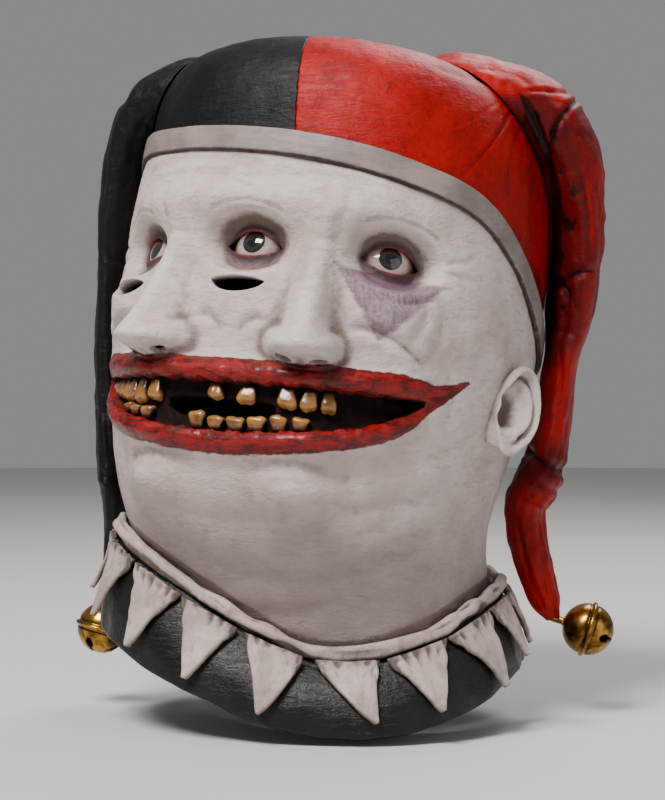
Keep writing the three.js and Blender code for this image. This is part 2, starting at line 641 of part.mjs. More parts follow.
// Tails
// Each hangs from the fold beside the crown. Its centre is in shares of the head's half width, back depth and
// height, and its width and thickness are shares of the head's width.
const tailSections = {
  red: [
    { side: 0.360, back: 0.148, at: 0.1218, wide: 0.297, thick: 0.135 },
    { side: 0.523, back: 0.213, at: 0.0923, wide: 0.378, thick: 0.171 },
    { side: 0.721, back: 0.303, at: 0.1144, wide: 0.396, thick: 0.198 },
    { side: 0.910, back: 0.402, at: 0.1587, wide: 0.378, thick: 0.207 },
    { side: 1.018, back: 0.467, at: 0.2325, wide: 0.333, thick: 0.176 },
    { side: 1.054, back: 0.500, at: 0.3358, wide: 0.297, thick: 0.144 },
    { side: 1.054, back: 0.516, at: 0.4465, wide: 0.270, thick: 0.126 },
    { side: 1.036, back: 0.508, at: 0.5498, wide: 0.225, thick: 0.099 },
    { side: 1.000, back: 0.467, at: 0.6458, wide: 0.198, thick: 0.081 },
    { side: 0.982, back: 0.426, at: 0.7417, wide: 0.189, thick: 0.086 },
    { side: 0.964, back: 0.377, at: 0.8229, wide: 0.207, thick: 0.099 },
    { side: 0.928, back: 0.328, at: 0.8819, wide: 0.207, thick: 0.117 },
    { side: 0.883, back: 0.303, at: 0.9225, wide: 0.153, thick: 0.104 },
    { side: 0.892, back: 0.303, at: 0.9779, wide: 0.126, thick: 0.095 },
    { side: 0.928, back: 0.320, at: 1.0480, wide: 0.117, thick: 0.090 },
    { side: 0.973, back: 0.336, at: 1.1107, wide: 0.086, thick: 0.072 },
    { side: 1.009, back: 0.352, at: 1.1476, wide: 0.045, thick: 0.036 },
  ],
  black: [
    { side: -0.378, back: -0.057, at: 0.1218, wide: 0.279, thick: 0.135 },
    { side: -0.541, back: -0.082, at: 0.0849, wide: 0.360, thick: 0.162 },
    { side: -0.757, back: -0.107, at: 0.0996, wide: 0.360, thick: 0.189 },
    { side: -0.928, back: -0.131, at: 0.1513, wide: 0.333, thick: 0.171 },
    { side: -1.027, back: -0.148, at: 0.2362, wide: 0.288, thick: 0.135 },
    { side: -1.072, back: -0.164, at: 0.3542, wide: 0.252, thick: 0.108 },
    { side: -1.099, back: -0.172, at: 0.4797, wide: 0.225, thick: 0.090 },
    { side: -1.117, back: -0.180, at: 0.6015, wide: 0.207, thick: 0.086 },
    { side: -1.108, back: -0.197, at: 0.7343, wide: 0.189, thick: 0.086 },
    { side: -1.090, back: -0.213, at: 0.8524, wide: 0.171, thick: 0.086 },
    { side: -1.063, back: -0.221, at: 0.9410, wide: 0.144, thick: 0.081 },
    { side: -1.063, back: -0.230, at: 1.0221, wide: 0.117, thick: 0.072 },
    { side: -1.081, back: -0.238, at: 1.0812, wide: 0.077, thick: 0.059 },
    { side: -1.099, back: -0.246, at: 1.1144, wide: 0.041, thick: 0.036 },
  ],
};

const besideHead = row => new THREE.Vector3(row.side * headWidth / 2, row.back * backDepth, zAt(row.at));

function tail(rows, sides) {
  const path = rows.map(besideHead);
  const rings = rows.map((row, i) => {
    const along = path[Math.min(i + 1, path.length - 1)].clone().sub(path[Math.max(i - 1, 0)]).normalize();
    const across = new THREE.Vector3(-path[i].y, path[i].x, 0).normalize();
    const thick = new THREE.Vector3().crossVectors(across, along).normalize();
    return Array.from({ length: sides }, (_, k) => {
      const angle = 2 * Math.PI * k / sides;
      return path[i].clone()
        .addScaledVector(across, row.wide * headWidth * tailPlump / 2 * Math.cos(angle))
        .addScaledVector(thick, row.thick * headWidth * tailPlump / 2 * Math.sin(angle));
    });
  });
  return solidOf(loft(rings));
}

const headRoom = solidOf(loft(skinLevels.map(share => skinRing(share, shellTurns, (turn, z) => {
  const point = skinPoint(turn, z);
  const grown = 1 + 2 * gap / Math.hypot(point.x, point.y);
  return lean(new THREE.Vector3(point.x * grown, point.y * grown, point.z));
}))));
const capRoom = capDome(-2 * gap, 0, shellTurns, 7);
const earRoom = hand => ear(hand, hand > 0 ? earProud : hiddenEarProud, 4 * gap);

addPiece('head_shell', geometryOf(mainBody(headShell.subtract(bandRoom))), latexWhite);
addPiece('cap_band', geometryOf(band), latexGrey);
const capCut = capShell.subtract(bandRoom);
addPiece('cap_black', geometryOf(mainBody(capCut.intersect(capHalfBox(-1)))), latexBlack);
addPiece('cap_red', geometryOf(mainBody(capCut.intersect(capHalfBox(1)))), latexRed);

// Bells
// A hollow brass ball with a raised girdle, crossed slots that end in round holes, and a shank.
const bellPlaces = [
  { name: 'red_side', side: 1.1667, back: 0.4057, at: 1.1697, seat: 3.2, tip: tailSections.red.at(-1) },
  { name: 'black_side', side: -1.1351, back: -0.2705, at: 1.1808, seat: 0.5, tip: tailSections.black.at(-1) },
];

function bellSolid(shankLong) {
  const radius = bellDiameter / 2;
  const ball = solidOf(new THREE.SphereGeometry(radius, 10, 7));
  const girdle = solidOf(new THREE.CylinderGeometry(radius + bellRimProud, radius + bellRimProud, bellRimHigh, 10));
  const shank = new THREE.CylinderGeometry(2.2, 2.2, shankLong, 5);
  shank.translate(0, -radius + 1.5 - shankLong / 2, 0);
  let bell = ball.add(girdle).add(solidOf(shank));
  bell = bell.subtract(solidOf(new THREE.SphereGeometry(radius - bellWall, 8, 5)));
  for (const turn of [0, 90]) {
    const slot = new THREE.BoxGeometry(2 * radius * 0.8, radius, bellSlot);
    slot.translate(0, radius * 1.05, 0);
    slot.rotateY(turn * degrees);
    bell = bell.subtract(solidOf(slot));
    for (const end of [-1, 1]) {
      const hole = new THREE.CylinderGeometry(bellSlotHole / 2, bellSlotHole / 2, radius, 6);
      hole.translate(end * radius * 0.72, radius * 0.8, 0);
      hole.rotateY(turn * degrees);
      bell = bell.subtract(solidOf(hole));
    }
  }
  return bell;
}

for (const place of bellPlaces) {
  const centre = besideHead(place);
  const away = centre.clone().sub(besideHead(place.tip));
  const shankLong = away.length() - bellDiameter / 2 + 1.5 - place.seat;
  const turned = new THREE.Matrix4().makeRotationFromQuaternion(
    new THREE.Quaternion().setFromUnitVectors(new THREE.Vector3(0, 1, 0), away.normalize()));
  turned.setPosition(centre);
  addPiece(`bell_${place.name}`, geometryOf(mainBody(bellSolid(shankLong))).applyMatrix4(turned), bellBrass);
  const pellet = new THREE.SphereGeometry(pelletDiameter / 2, 7, 5);
  const rest = centre.clone().add(new THREE.Vector3(0, 0, -(bellDiameter - pelletDiameter) / 2 + bellWall + 1));
  addPiece(`pellet_${place.name}`, pellet.translate(rest.x, rest.y, rest.z), bellBrass);
}

// Yoke and collar
// The end of the neck, and the direction away from its middle.
const neckEnd = turn => lean(skinPoint(turn, neckZ(turn)));
const neckCentre = new THREE.Vector3();
shellTurns.forEach(turn => neckCentre.addScaledVector(neckEnd(turn), 1 / shellTurns.length));

const yokeRoutes = [
  { turn: -180, drop: 0.95, flare: 0.90 },
  { turn: -120, drop: 1.10, flare: 0.80 },
  { turn: -80, drop: 1.18, flare: 0.62 },
  { turn: -40, drop: 1.12, flare: 0.85 },
  { turn: 0, drop: 0.92, flare: 1.0 },
  { turn: 45, drop: 0.90, flare: 1.0 },
  { turn: 90, drop: 0.92, flare: 0.80 },
  { turn: 130, drop: 0.92, flare: 0.85 },
  { turn: 180, drop: 0.95, flare: 0.90 },
];

// A point on the yoke's outer face: a share of the way to its hem, lifted off the face.
function yokePoint(turn, share, lift) {
  const end = neckEnd(turn);
  const out = end.clone().sub(neckCentre).setZ(0).normalize();
  const bodyTurn = wrap(turn - capTurn);
  const drop = readTable(yokeRoutes, 'turn', bodyTurn, 'drop') * yokeHigh;
  const flare = readTable(yokeRoutes, 'turn', bodyTurn, 'flare') * yokeFlare;
  const slope = new THREE.Vector2(flare, -drop).normalize();
  const reach = 3.5 + flare * (share + 0.28 * Math.sin(Math.PI * Math.max(share, 0)));
  const level = -2.6 - drop * share;
  return end.addScaledVector(out, reach - slope.y * lift).add(new THREE.Vector3(0, 0, level + slope.x * lift));
}

const yokeLevels = [0, 0.45, 1];
const yoke = loft(shellTurns.map(turn => [
  ...yokeLevels.map(share => yokePoint(turn, share, 0)),
  ...[...yokeLevels].reverse().map(share => yokePoint(turn, share, -yokeWall)),
]), true);
addPiece('yoke', yoke, latexBlack);

const collarRing = loft(shellTurns.map(turn => {
  const end = neckEnd(turn);
  const out = end.clone().sub(neckCentre).setZ(0).normalize();
  return Array.from({ length: 5 }, (_, k) => {
    const angle = Math.PI * (2 * k + 1) / 5;
    return end.clone().addScaledVector(out, collarThick / 2 + collarRoom + collarThick / 2 * Math.cos(angle))
      .add(new THREE.Vector3(0, 0, collarUp + collarThick / 2 * Math.sin(angle)));
  });
}), true);
addPiece('collar_band', collarRing, latexWhite);

// Collar points: leaf-like flaps that lie on the yoke and lift at their tips, evenly spaced along the neck's end.
const pointLevels = [
  { at: 0.0, wide: 1.0, lift: 0 },
  { at: 0.48, wide: 0.68, lift: 0.35 },
  { at: 1.0, wide: 0.07, lift: 1.8 },
];
const neckSteps = Array.from({ length: 361 }, (_, i) => i + capTurn);
const neckLengths = [0];
neckSteps.slice(1).forEach((turn, i) => {
  neckLengths.push(neckLengths[i] + neckEnd(turn).distanceTo(neckEnd(turn - 1)));
});
function turnAtLength(length) {
  const i = Math.max(1, neckLengths.findIndex(value => value >= length));
  return neckSteps[i - 1] + (length - neckLengths[i - 1]) / (neckLengths[i] - neckLengths[i - 1]);
}

for (let number = 0; number < pointCount; number += 1) {
  const middle = (number + 0.5) / pointCount * neckLengths.at(-1);
  const turn = turnAtLength(middle);
  const perDegree = yokePoint(turn + 1, 0.2, 0).distanceTo(yokePoint(turn - 1, 0.2, 0)) / 2;
  const far = yokePoint(turn, 1, 0).distanceTo(yokePoint(turn, 0, 0));
  const rings = pointLevels.map(level => {
    const share = 0.15 + level.at * pointLong / far;
    const half = pointRoot / 2 * level.wide / perDegree;
    const under = 3 * gap + level.lift;
    const over = under + pointThick;
    return [[-1, under], [0, under], [1, under], [0.93, over], [0, over + 0.8], [-0.93, over]]
      .map(([across, lift]) => yokePoint(turn + across * half, share, lift));
  });
  addPiece(`collar_point_${String(number + 1).padStart(2, '0')}`, loft(rings), latexWhite);
}

// The tails lie against the head, the collar and its points.
const underTail = solidOf(loft([-0.5, 0, 0.45, 1].map(share => shellTurns.map(turn => (
  yokePoint(turn, share, share < 0 ? -6 : tailOverYoke))))));
const collarGrown = solidOf(loft([-6, 9].map(level => shellTurns.map(turn => {
  const end = neckEnd(turn);
  const out = end.clone().sub(neckCentre).setZ(0).normalize();
  return end.addScaledVector(out, collarThick + collarRoom + 2 * gap).add(new THREE.Vector3(0, 0, level));
}))));
const tailRoom = [capRoom, headRoom, bandRoom, earRoom(1), earRoom(-1), underTail, collarGrown];
for (const [name, material] of [['red', latexRed], ['black', latexBlack]]) {
  const cut = tailRoom.reduce((body, room) => body.subtract(room), tail(tailSections[name], 10));
  addPiece(`tail_${name}`, geometryOf(mainBody(cut)), material);
}

const mask = new THREE.Group();
meshes.forEach(mesh => mask.add(mesh));

export default mask;
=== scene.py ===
import bpy
import numpy as np
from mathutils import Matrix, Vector


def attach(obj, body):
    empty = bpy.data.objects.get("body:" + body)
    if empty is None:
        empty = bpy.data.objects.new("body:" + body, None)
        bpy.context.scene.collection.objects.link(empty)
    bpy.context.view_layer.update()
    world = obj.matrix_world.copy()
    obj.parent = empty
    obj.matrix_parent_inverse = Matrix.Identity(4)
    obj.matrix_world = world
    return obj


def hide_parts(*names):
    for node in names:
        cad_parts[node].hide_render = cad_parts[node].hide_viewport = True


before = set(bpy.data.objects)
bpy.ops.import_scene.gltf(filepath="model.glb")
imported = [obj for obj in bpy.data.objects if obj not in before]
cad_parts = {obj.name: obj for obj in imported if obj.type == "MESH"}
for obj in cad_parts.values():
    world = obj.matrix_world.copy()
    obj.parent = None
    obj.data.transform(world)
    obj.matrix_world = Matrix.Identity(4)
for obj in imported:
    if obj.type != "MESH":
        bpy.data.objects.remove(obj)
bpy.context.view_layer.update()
degrees = np.pi / 180

# Camera and studio
# A level view from 25 degrees to the wearer's left of the two faces' middle, over a pale floor,
# with one large soft light at the upper left, a weak one at the right and a pale room.
view_turn = 25
view_height = -0.190
view_distance = 1.10
image_wide, image_high = 665, 800
sensor_wide = 36
lens_long = 109
camera = bpy.data.objects.new("camera", bpy.data.cameras.new("camera"))
camera.data.sensor_fit = "HORIZONTAL"
camera.data.sensor_width = sensor_wide
camera.data.lens = lens_long
camera.location = (view_distance * np.sin(view_turn * degrees), -view_distance * np.cos(view_turn * degrees),
                   view_height)
camera.rotation_euler = (np.pi / 2, 0, view_turn * degrees)
bpy.context.scene.collection.objects.link(camera)
bpy.context.scene.camera = camera


def lamp(name, turn, rise, away, size, watts, colour):
    """A square soft light that faces the mask, at a turn from the camera and a rise, both in degrees."""
    light = bpy.data.lights.new(name, "AREA")
    light.size = size
    light.energy = watts
    light.color = colour
    place = bpy.data.objects.new(name, light)
    heading = (view_turn + turn) * degrees
    middle = Vector((0, 0, view_height))
    flat = np.cos(rise * degrees) * away
    high = np.sin(rise * degrees) * away
    place.location = middle + Vector((flat * np.sin(heading), -flat * np.cos(heading), high))
    place.rotation_euler = (middle - place.location).to_track_quat("-Z", "Y").to_euler()
    bpy.context.scene.collection.objects.link(place)


lamp("key", -30, 52, 1.7, 0.65, 46, (1.0, 0.96, 0.93))
lamp("fill", 50, 14, 2.0, 1.4, 5, (0.95, 0.97, 1.0))
lamp("back", 150, 50, 1.8, 0.9, 18, (1.0, 1.0, 1.0))

world = bpy.data.worlds.new("room")
world.use_nodes = True
room = world.node_tree.nodes["Background"]
room.inputs["Color"].default_value = (0.78, 0.78, 0.79, 1)
room.inputs["Strength"].default_value = 0.33
bpy.context.scene.world = world


def linear(red, green, blue):
    """A colour from 0 to 255 as the shader's linear value."""
    share = np.array([red, green, blue]) / 255
    value = np.where(share <= 0.04045, share / 12.92, ((share + 0.055) / 1.055) ** 2.4)
    return (*value.tolist(), 1)


def new_material(name, rough=0.5):
    """A Principled material and its tree."""
    material = bpy.data.materials.new(name)
    material.use_nodes = True
    shader = material.node_tree.nodes["Principled BSDF"]
    shader.inputs["Roughness"].default_value = rough
    return material, material.node_tree, shader


def feed(tree, socket, value):
    """Links a node's output to a socket, or sets the socket's own number or colour, given from 0 to 255."""
    if isinstance(value, bpy.types.NodeSocket):
        tree.links.new(value, socket)
    else:
        socket.default_value = linear(*value) if isinstance(value, tuple) else value


def circle(count):
    """Angles in equal steps once round, in radians."""
    return np.arange(count) * 2 * np.pi / count


def mesh_points(piece):
    """The mesh's points in millimetres."""
    values = np.zeros(len(piece.data.vertices) * 3)
    piece.data.vertices.foreach_get("co", values)
    return values.reshape(-1, 3) * 1000


def new_piece(name, points, faces, material, smooth=True):
    """A mesh object from points in millimetres and faces, turned outward: the cones from the origin to its
    triangles then add up to a volume above 0."""
    mesh = bpy.data.meshes.new(name)
    mesh.from_pydata((points.reshape(-1, 3) / 1000).tolist(), [], faces)
    mesh.validate()
    piece = bpy.data.objects.new(name, mesh)
    mesh.calc_loop_triangles()
    triangles = np.zeros(len(mesh.loop_triangles) * 3, int)
    mesh.loop_triangles.foreach_get("vertices", triangles)
    a, b, c = mesh_points(piece)[triangles.reshape(-1, 3)].transpose(1, 0, 2)
    if np.einsum("ij,ij->i", a, np.cross(b, c)).sum() < 0:
        mesh.flip_normals()
    mesh.polygons.foreach_set("use_smooth", [smooth] * len(mesh.polygons))
    mesh.materials.append(material)
    bpy.context.scene.collection.objects.link(piece)
    return piece


floor_z = -360
floor_reach = 4000
floor_material, tree, shader = new_material("floor_paint", 0.75)
feed(tree, shader.inputs["Base Color"], (208, 207, 205))
edge = circle(64)
floor_ring = np.stack([floor_reach * np.cos(edge), floor_reach * np.sin(edge), floor_z + 0 * edge], -1)
floor = new_piece("floor", floor_ring, [list(range(64))], floor_material, smooth=False)
floor.data.flip_normals()

# Head skin
# One casting of latex, a few millimetres thick, with two fused faces that share the middle eye. Its form is
# a bare head of named cross-sections, to which each face adds nose, cheeks, brow, lids, lips and folds.
wall = 3.0
gap = 0.3
head_width = 222
front_depth = 118
back_depth = 122
head_height = 271
crown_z = wall
squareness = 2.25
pitch_back = 14
roll_left = 4
pivot_z = -130
neck_shift = 7
face_turn = 21
eye_turn = 41
brow_at = 0.44
eye_at = 0.515
cheek_at = 0.62
nose_base_at = 0.72
mouth_at = 0.83
chin_at = 0.965
nose_height = 27
nose_length = 68
mouth_turn = 57
mouth_gape = 25
corner_rise = 20
lip_high = 11
lip_proud = 5
mouth_recess = 7
mouth_wall_extra = 6
cap_turn = 14


def table(names, *rows):
    """Rows of numbers as one array for each named column."""
    return dict(zip(names.split(), np.array(rows, float).T))


def read(rows, name, at):
    """Reads a column at values of the table's first column: a cubic between two rows, whose slopes come from
    the rows on either side."""
    keys = next(iter(rows.values()))
    values = rows[name]
    high = np.clip(np.searchsorted(keys, at, side="left"), 1, len(keys) - 1)
    before = np.maximum(high - 2, 0)
    low = high - 1
    after = np.minimum(high + 1, len(keys) - 1)
    span = keys[high] - keys[low]
    t = np.clip((at - keys[low]) / span, 0, 1)
    slope_in = (values[high] - values[before]) / (keys[high] - keys[before]) * span
    slope_out = (values[after] - values[low]) / (keys[after] - keys[low]) * span
    return ((2 * t ** 3 - 3 * t ** 2 + 1) * values[low] + (t ** 3 - 2 * t ** 2 + t) * slope_in
            + (3 * t ** 2 - 2 * t ** 3) * values[high] + (t ** 3 - t ** 2) * slope_out)


def z_at(share):
    """Height of a share of the head, counted down from the crown."""
    return crown_z - share * head_height


def hill(distance, width, power=2):
    """A bell curve: 1 in the middle, 0.37 at the width."""
    return np.exp(-np.abs(distance / width) ** power)


def ramp(value, low, high):
    """0 below low, 1 above high, smooth between."""
    t = np.clip((value - low) / (high - low), 0, 1)
    return t * t * (3 - 2 * t)


def lumps(points, size, seed, octaves=2):
    """Smooth random lumps from -1 to 1: random numbers on a lattice of that size, blended between its corners,
    and again at half the size for each further octave."""
    total = 0
    repeat = 32
    for octave in range(octaves):
        lattice = np.random.default_rng(seed + octave).uniform(-1, 1, (repeat, repeat, repeat))
        place = points * 2 ** octave / size
        cell = np.floor(place).astype(int)
        t = place - cell
        t = t * t * (3 - 2 * t)
        value = 0
        for corner in np.ndindex(2, 2, 2):
            share = np.prod(np.where(np.array(corner) == 1, t, 1 - t), axis=-1)
            at = (cell + np.array(corner)) % repeat
            value = value + share * lattice[at[..., 0], at[..., 1], at[..., 2]]
        total = total + value / 2 ** octave
    return total / (2 - 0.5 ** (octaves - 1))


def creases(side, up, rows):
    """Grooves between soft swells. Each row is an arc from one point to another with a bend off its chord, a
    depth and a width; its ends fade out."""
    total = np.zeros(np.broadcast(side, up).shape)
    for x0, z0, x1, z1, bend, depth, width in zip(*rows.values()):
        dx, dz = x1 - x0, z1 - z0
        long = np.hypot(dx, dz)
        t = ((side - x0) * dx + (up - z0) * dz) / long ** 2
        off = ((up - z0) * dx - (side - x0) * dz) / long - 4 * bend * t * (1 - t)
        fade = ramp(t, -0.05, 0.22) * (1 - ramp(t, 0.78, 1.05))
        swell = 0.38 * hill(np.abs(off) - 2.0 * width, 1.25 * width)
        total += fade * depth * (swell - hill(off, width, 1.3))
    return total


crease_columns = "side0 up0 side1 up1 bend deep wide"

head_sections = table("at wide front back",
    (0.10, 0.74, 0.72, 0.72), (0.20, 0.90, 0.88, 0.88), (0.29, 0.955, 0.935, 0.955),
    (0.43, 0.99, 0.945, 0.99), (0.52, 1.00, 0.91, 1.00), (0.62, 1.00, 0.90, 0.97), (0.72, 0.97, 0.895, 0.91),
    (0.82, 0.925, 0.89, 0.84), (0.91, 0.88, 0.875, 0.79), (1.00, 0.84, 0.84, 0.76), (1.07, 0.815, 0.77, 0.74),
    (1.16, 0.81, 0.74, 0.74), (1.32, 0.84, 0.78, 0.76))
nose_ridge = table("at high wide",
    (-0.15, 0.0, 9), (0.0, 0.12, 8), (0.25, 0.28, 8), (0.50, 0.52, 9), (0.75, 0.84, 11), (0.88, 1.0, 12),
    (0.96, 0.92, 12), (1.03, 0.50, 11), (1.12, 0.0, 10))
band_route = table("turn at",
    (-180, 0.56), (-140, 0.53), (-95, 0.39), (-60, 0.30), (-25, 0.315), (12, 0.33), (45, 0.355), (63, 0.375),
    (84, 0.44), (117, 0.545), (150, 0.56), (180, 0.56))
neck_route = table("turn at",
    (-180, 0.94), (-110, 0.985), (-79, 1.005), (-49, 1.055), (-26, 1.115), (0, 1.18), (20, 1.18), (42, 1.145),
    (64, 1.10), (101, 1.045), (180, 0.94))

# Folds of one face, from its midline and the line of its eyes; the outer side is positive.
face_folds = table(crease_columns,
    (19, -38, 62, -52, 5, 2.4, 2.6), (64, -36, 72, -80, 6, 1.1, 3.4), (-19, -38, -34, -50, -3, 1.6, 2.2),
    (24, -8, 55, -8, -7, 1.3, 1.5), (26, -13, 60, -14, -9, 1.6, 2.2), (21, 6, 56, 4, 7.5, 1.5, 1.5),
    (-55, 6, -22, 6, 7.5, 1.3, 1.5), (-55, -8, -24, -8, 7, 1.1, 1.5), (-58, -13, -24, -13, 8, 1.3, 2.0),
    (-6, 10, -11, 30, 3, 1.1, 3.0), (6, 10, 10, 32, -3, 1.2, 3.0), (-9, 3, 9, 2, 2, 0.7, 2.0),
    (-38, 31, 42, 31, 4, 1.1, 2.6), (-30, 40, 48, 38, 3, 0.9, 2.6), (60, 4, 77, 13, -1.5, 0.9, 1.4),
    (61, -1, 79, 0, 1, 0.9, 1.4), (60, -7, 76, -15, 1.5, 0.8, 1.4), (57, -17, 48, -44, 3, 1.0, 2.0),
    (64, -22, 60, -46, 3, 0.7, 1.8), (28, -104, 36, -130, -4, 0.8, 3.4), (-24, -113, 24, -113, 4, 0.9, 4.6))

# Folds of the neck and jaw, in degrees round the head scaled to millimetres and in height.
neck_folds = table(crease_columns,
    (-60, -262, 150, -230, -20, 1.3, 4.2), (-30, -284, 130, -262, -14, 1.1, 3.8),
    (-20, -298, 60, -294, -6, 0.8, 3.0), (70, -240, 165, -200, -7, 0.9, 3.4),
    (-90, -250, -30, -274, -4, 0.9, 3.4), (96, -252, 150, -238, -4, 0.6, 2.6),
    (10, -252, 90, -238, -7, 0.5, 2.6), (30, -272, 110, -252, -8, 0.5, 2.6),
    (-70, -282, 0, -290, -6, 0.6, 2.8), (105, -226, 160, -206, -4, 0.6, 2.6))


def bare_radius(turn, z):
    """The bare head's radius at a turn from the front: a superellipse between its half width and its depth."""
    at = (crown_z - z) / head_height
    wide = read(head_sections, "wide", at) * head_width / 2
    front = read(head_sections, "front", at) * front_depth
    back = read(head_sections, "back", at) * back_depth
    c = np.cos(turn * degrees)
    s = np.sin(turn * degrees)
    deep = np.where(c > 0, front, back)
    return (np.abs(s / wide) ** squareness + np.abs(c / deep) ** squareness) ** (-1 / squareness)


def mouth_line(turn):
    """Height of the line between the lips, which rises to the corners."""
    return z_at(mouth_at) + corner_rise * np.minimum(np.abs(turn / mouth_turn), 1.2) ** 2.4


def mouth_half(turn):
    """Half the height between the lips."""
    t = np.minimum(np.abs(turn / mouth_turn), 1)
    return mouth_gape / 2 * (1 - t ** 2.2) ** 0.8


def face_relief(side, z, hand, fine):
    """How far one face stands out of the bare head, as sums of bell curves: its nose with the wings, and the
    rest, which is cheeks, brow, the mound of the mouth, the chin and the dip over it."""
    along = (z_at(nose_base_at) + nose_length - z) / nose_length
    inside = (along > -0.15) & (along < 1.12)
    ridge = np.where(inside, read(nose_ridge, "high", along) * nose_height, 0)
    ridge_wide = read(nose_ridge, "wide", along)
    tip_z = z_at(nose_base_at) + 5
    nose = (ridge * hill(side, ridge_wide, 2.3)
            + 0.42 * nose_height * (hill(side - 13, 7) + hill(side + 13, 7)) * hill(z - tip_z, 8))
    left = 0.5 if hand < 0 else 1
    right = 0.5 if hand > 0 else 1
    rest = (7 * (hill(side - 44, 18) * left + hill(side + 44, 18) * right) * hill(z - z_at(cheek_at), 17)
            + 5.5 * hill(z - z_at(brow_at), 10) * hill(side, 42, 4)
            + 8 * hill(side, 36) * hill(z - z_at(mouth_at), 30)
            + 12 * hill(side, 17) * hill(z - z_at(chin_at), 13)
            - 3 * hill(side, 24) * hill(z - z_at((mouth_at + 2.2 * chin_at) / 3.2), 6))
    if fine:
        up = z - z_at(eye_at)
        # The folds, the groove behind each wing of the nose, the one under it and the cleft of its tip.
        rest = rest + creases(side * hand, up, face_folds)
        wing = np.hypot((np.abs(side) - 12) / 9.5, (z - tip_z) / 9.5)
        rest = rest - 1.3 * hill(wing - 1.0, 0.3) * ramp(np.abs(side), 9, 14)
        rest = rest - 1.6 * hill(side, 3.2) * hill(z - (z_at(nose_base_at) - 7), 6, 4)
        rest = rest + 0.9 * hill(side, 3.0) * hill(along - 0.93, 0.1)
        rest = rest - 0.8 * hill(side, 1.6) * hill(along - 0.97, 0.08)
    return nose, rest


eyeball_radius = 15.5
eye_sunk = 4.5
eye_rim = 13.5
eye_thick = 8
lid_thick = 2.3
eye_pad = 8
eye_turns = (-eye_turn, 0, eye_turn)
ball_centres = []


def outward(turn):
    """Level unit arrow out of the head at a turn."""
    return np.stack([np.sin(turn * degrees), -np.cos(turn * degrees), 0 * np.asarray(turn, float)], -1)


def sideways(turn):
    """Level unit arrow along the head's surface, to the wearer's left at the front."""
    return np.array([np.cos(turn * degrees), np.sin(turn * degrees), 0])


upward = np.array([0, 0, 1.0])


def skin(turn, z, fine=True):
    """A point of the upright outer skin: the bare radius, pushed along each face's own heading by its relief,
    then the eye sockets, the lids that hug each eyeball, and the lips."""
    turn, z = np.broadcast_arrays(np.asarray(turn, float), np.asarray(z, float))
    radius = bare_radius(turn, z)
    point = radius[..., None] * outward(turn)
    point[..., 2] = z
    for hand in (-1, 1):
        away = turn - hand * face_turn
        side = radius * np.sin(away * degrees)
        nose, rest = face_relief(side, z, hand, fine)
        near = 1 - ramp(np.abs(away), 68, 80)
        point += (near * (nose + rest))[..., None] * outward(hand * face_turn)
        point[..., 2] -= 0.22 * near * nose
    for number, eye in enumerate(eye_turns):
        side = radius * np.sin((turn - eye) * degrees)
        near = np.abs(turn - eye) < 40
        up = z - z_at(eye_at)
        lids = near * (5 * hill(side, 16) * hill(up, 10) - 9 * hill(side, 21) * hill(up, 14))
        point += lids[..., None] * outward(eye)
        if fine:
            local = point - ball_centres[number]
            across = local @ sideways(eye)
            out = local @ outward(eye)
            rise = local[..., 2]
            shell = eyeball_radius + lid_thick
            target = np.sqrt(np.maximum(shell ** 2 - across ** 2 - rise ** 2, (0.64 * shell) ** 2))
            weight = near * (1 - ramp(np.hypot(across / 20, rise / 12.5), 0.72, 1.42))
            point += (weight * (target - out))[..., None] * outward(eye)
    corner = np.maximum(0, 1 - np.abs(turn / mouth_turn) ** 6)
    up = z - mouth_line(turn) - mouth_half(turn) - lip_high / 2
    down = mouth_line(turn) - mouth_half(turn) - lip_high / 2 - z
    lips = lip_proud * corner * (hill(up, lip_high * 0.55) + 1.15 * hill(down, lip_high * 0.6))
    if fine:
        in_mouth = np.stack([turn * 2.0, z * 0.5, 0 * z], -1)
        strokes = lumps(in_mouth, 3.2, 31)
        lips = lips * (1 + 0.10 * strokes) - 0.9 * corner * (hill(up + 6.5, 1.8) + hill(down + 7, 1.8))
        lips = lips + creases(turn * 1.9, z, neck_folds) * ramp(-z, 215, 240)
        lips = lips + 0.55 * lumps(point, 17, 5, 3) + 0.34 * lumps(point, 6, 9, 3)
    point += lips[..., None] * outward(turn)
    return point


for eye in eye_turns:
    ball_centres.append(skin(eye, z_at(eye_at), fine=False) - (eye_sunk + eyeball_radius) * outward(eye))


def lean_at(z):
    """The head's two tilts in radians and its shift to the wearer's left at an upright height, which all fade
    out downward."""
    weight = ramp(z, z_at(1.24), z_at(0.88))
    shift = neck_shift * (1 - ramp(z, z_at(1.2), z_at(0.6)))
    return pitch_back * weight * degrees, roll_left * weight * degrees, shift


def lean(point):
    """The head's lean: turned back about its pivot, then to the side, then shifted."""
    a, b, shift = lean_at(point[..., 2])
    x, y, z = point[..., 0], point[..., 1], point[..., 2] - pivot_z
    y, z = y * np.cos(a) + z * np.sin(a), z * np.cos(a) - y * np.sin(a)
    x, z = x * np.cos(b) + z * np.sin(b), z * np.cos(b) - x * np.sin(b)
    return np.stack([x + shift, y, z + pivot_z], -1)


def upright(point):
    """The lean undone: the upright height is guessed, and the guess mended six times."""
    z = point[..., 2]
    for _ in range(6):
        a, b, shift = lean_at(z)
        x0 = point[..., 0] - shift
        z0 = point[..., 2] - pivot_z
        x = x0 * np.cos(b) - z0 * np.sin(b)
        z1 = x0 * np.sin(b) + z0 * np.cos(b)
        y = point[..., 1] * np.cos(a) - z1 * np.sin(a)
        z = point[..., 1] * np.sin(a) + z1 * np.cos(a) + pivot_z
    return np.stack([x, y, z], -1)


def wrap(turn):
    """A turn between -180 and 180 degrees."""
    return np.mod(np.asarray(turn, float) + 180, 360) - 180


def band_z(turn):
    """Upright height of the band's middle."""
    return z_at(read(band_route, "at", wrap(turn)))


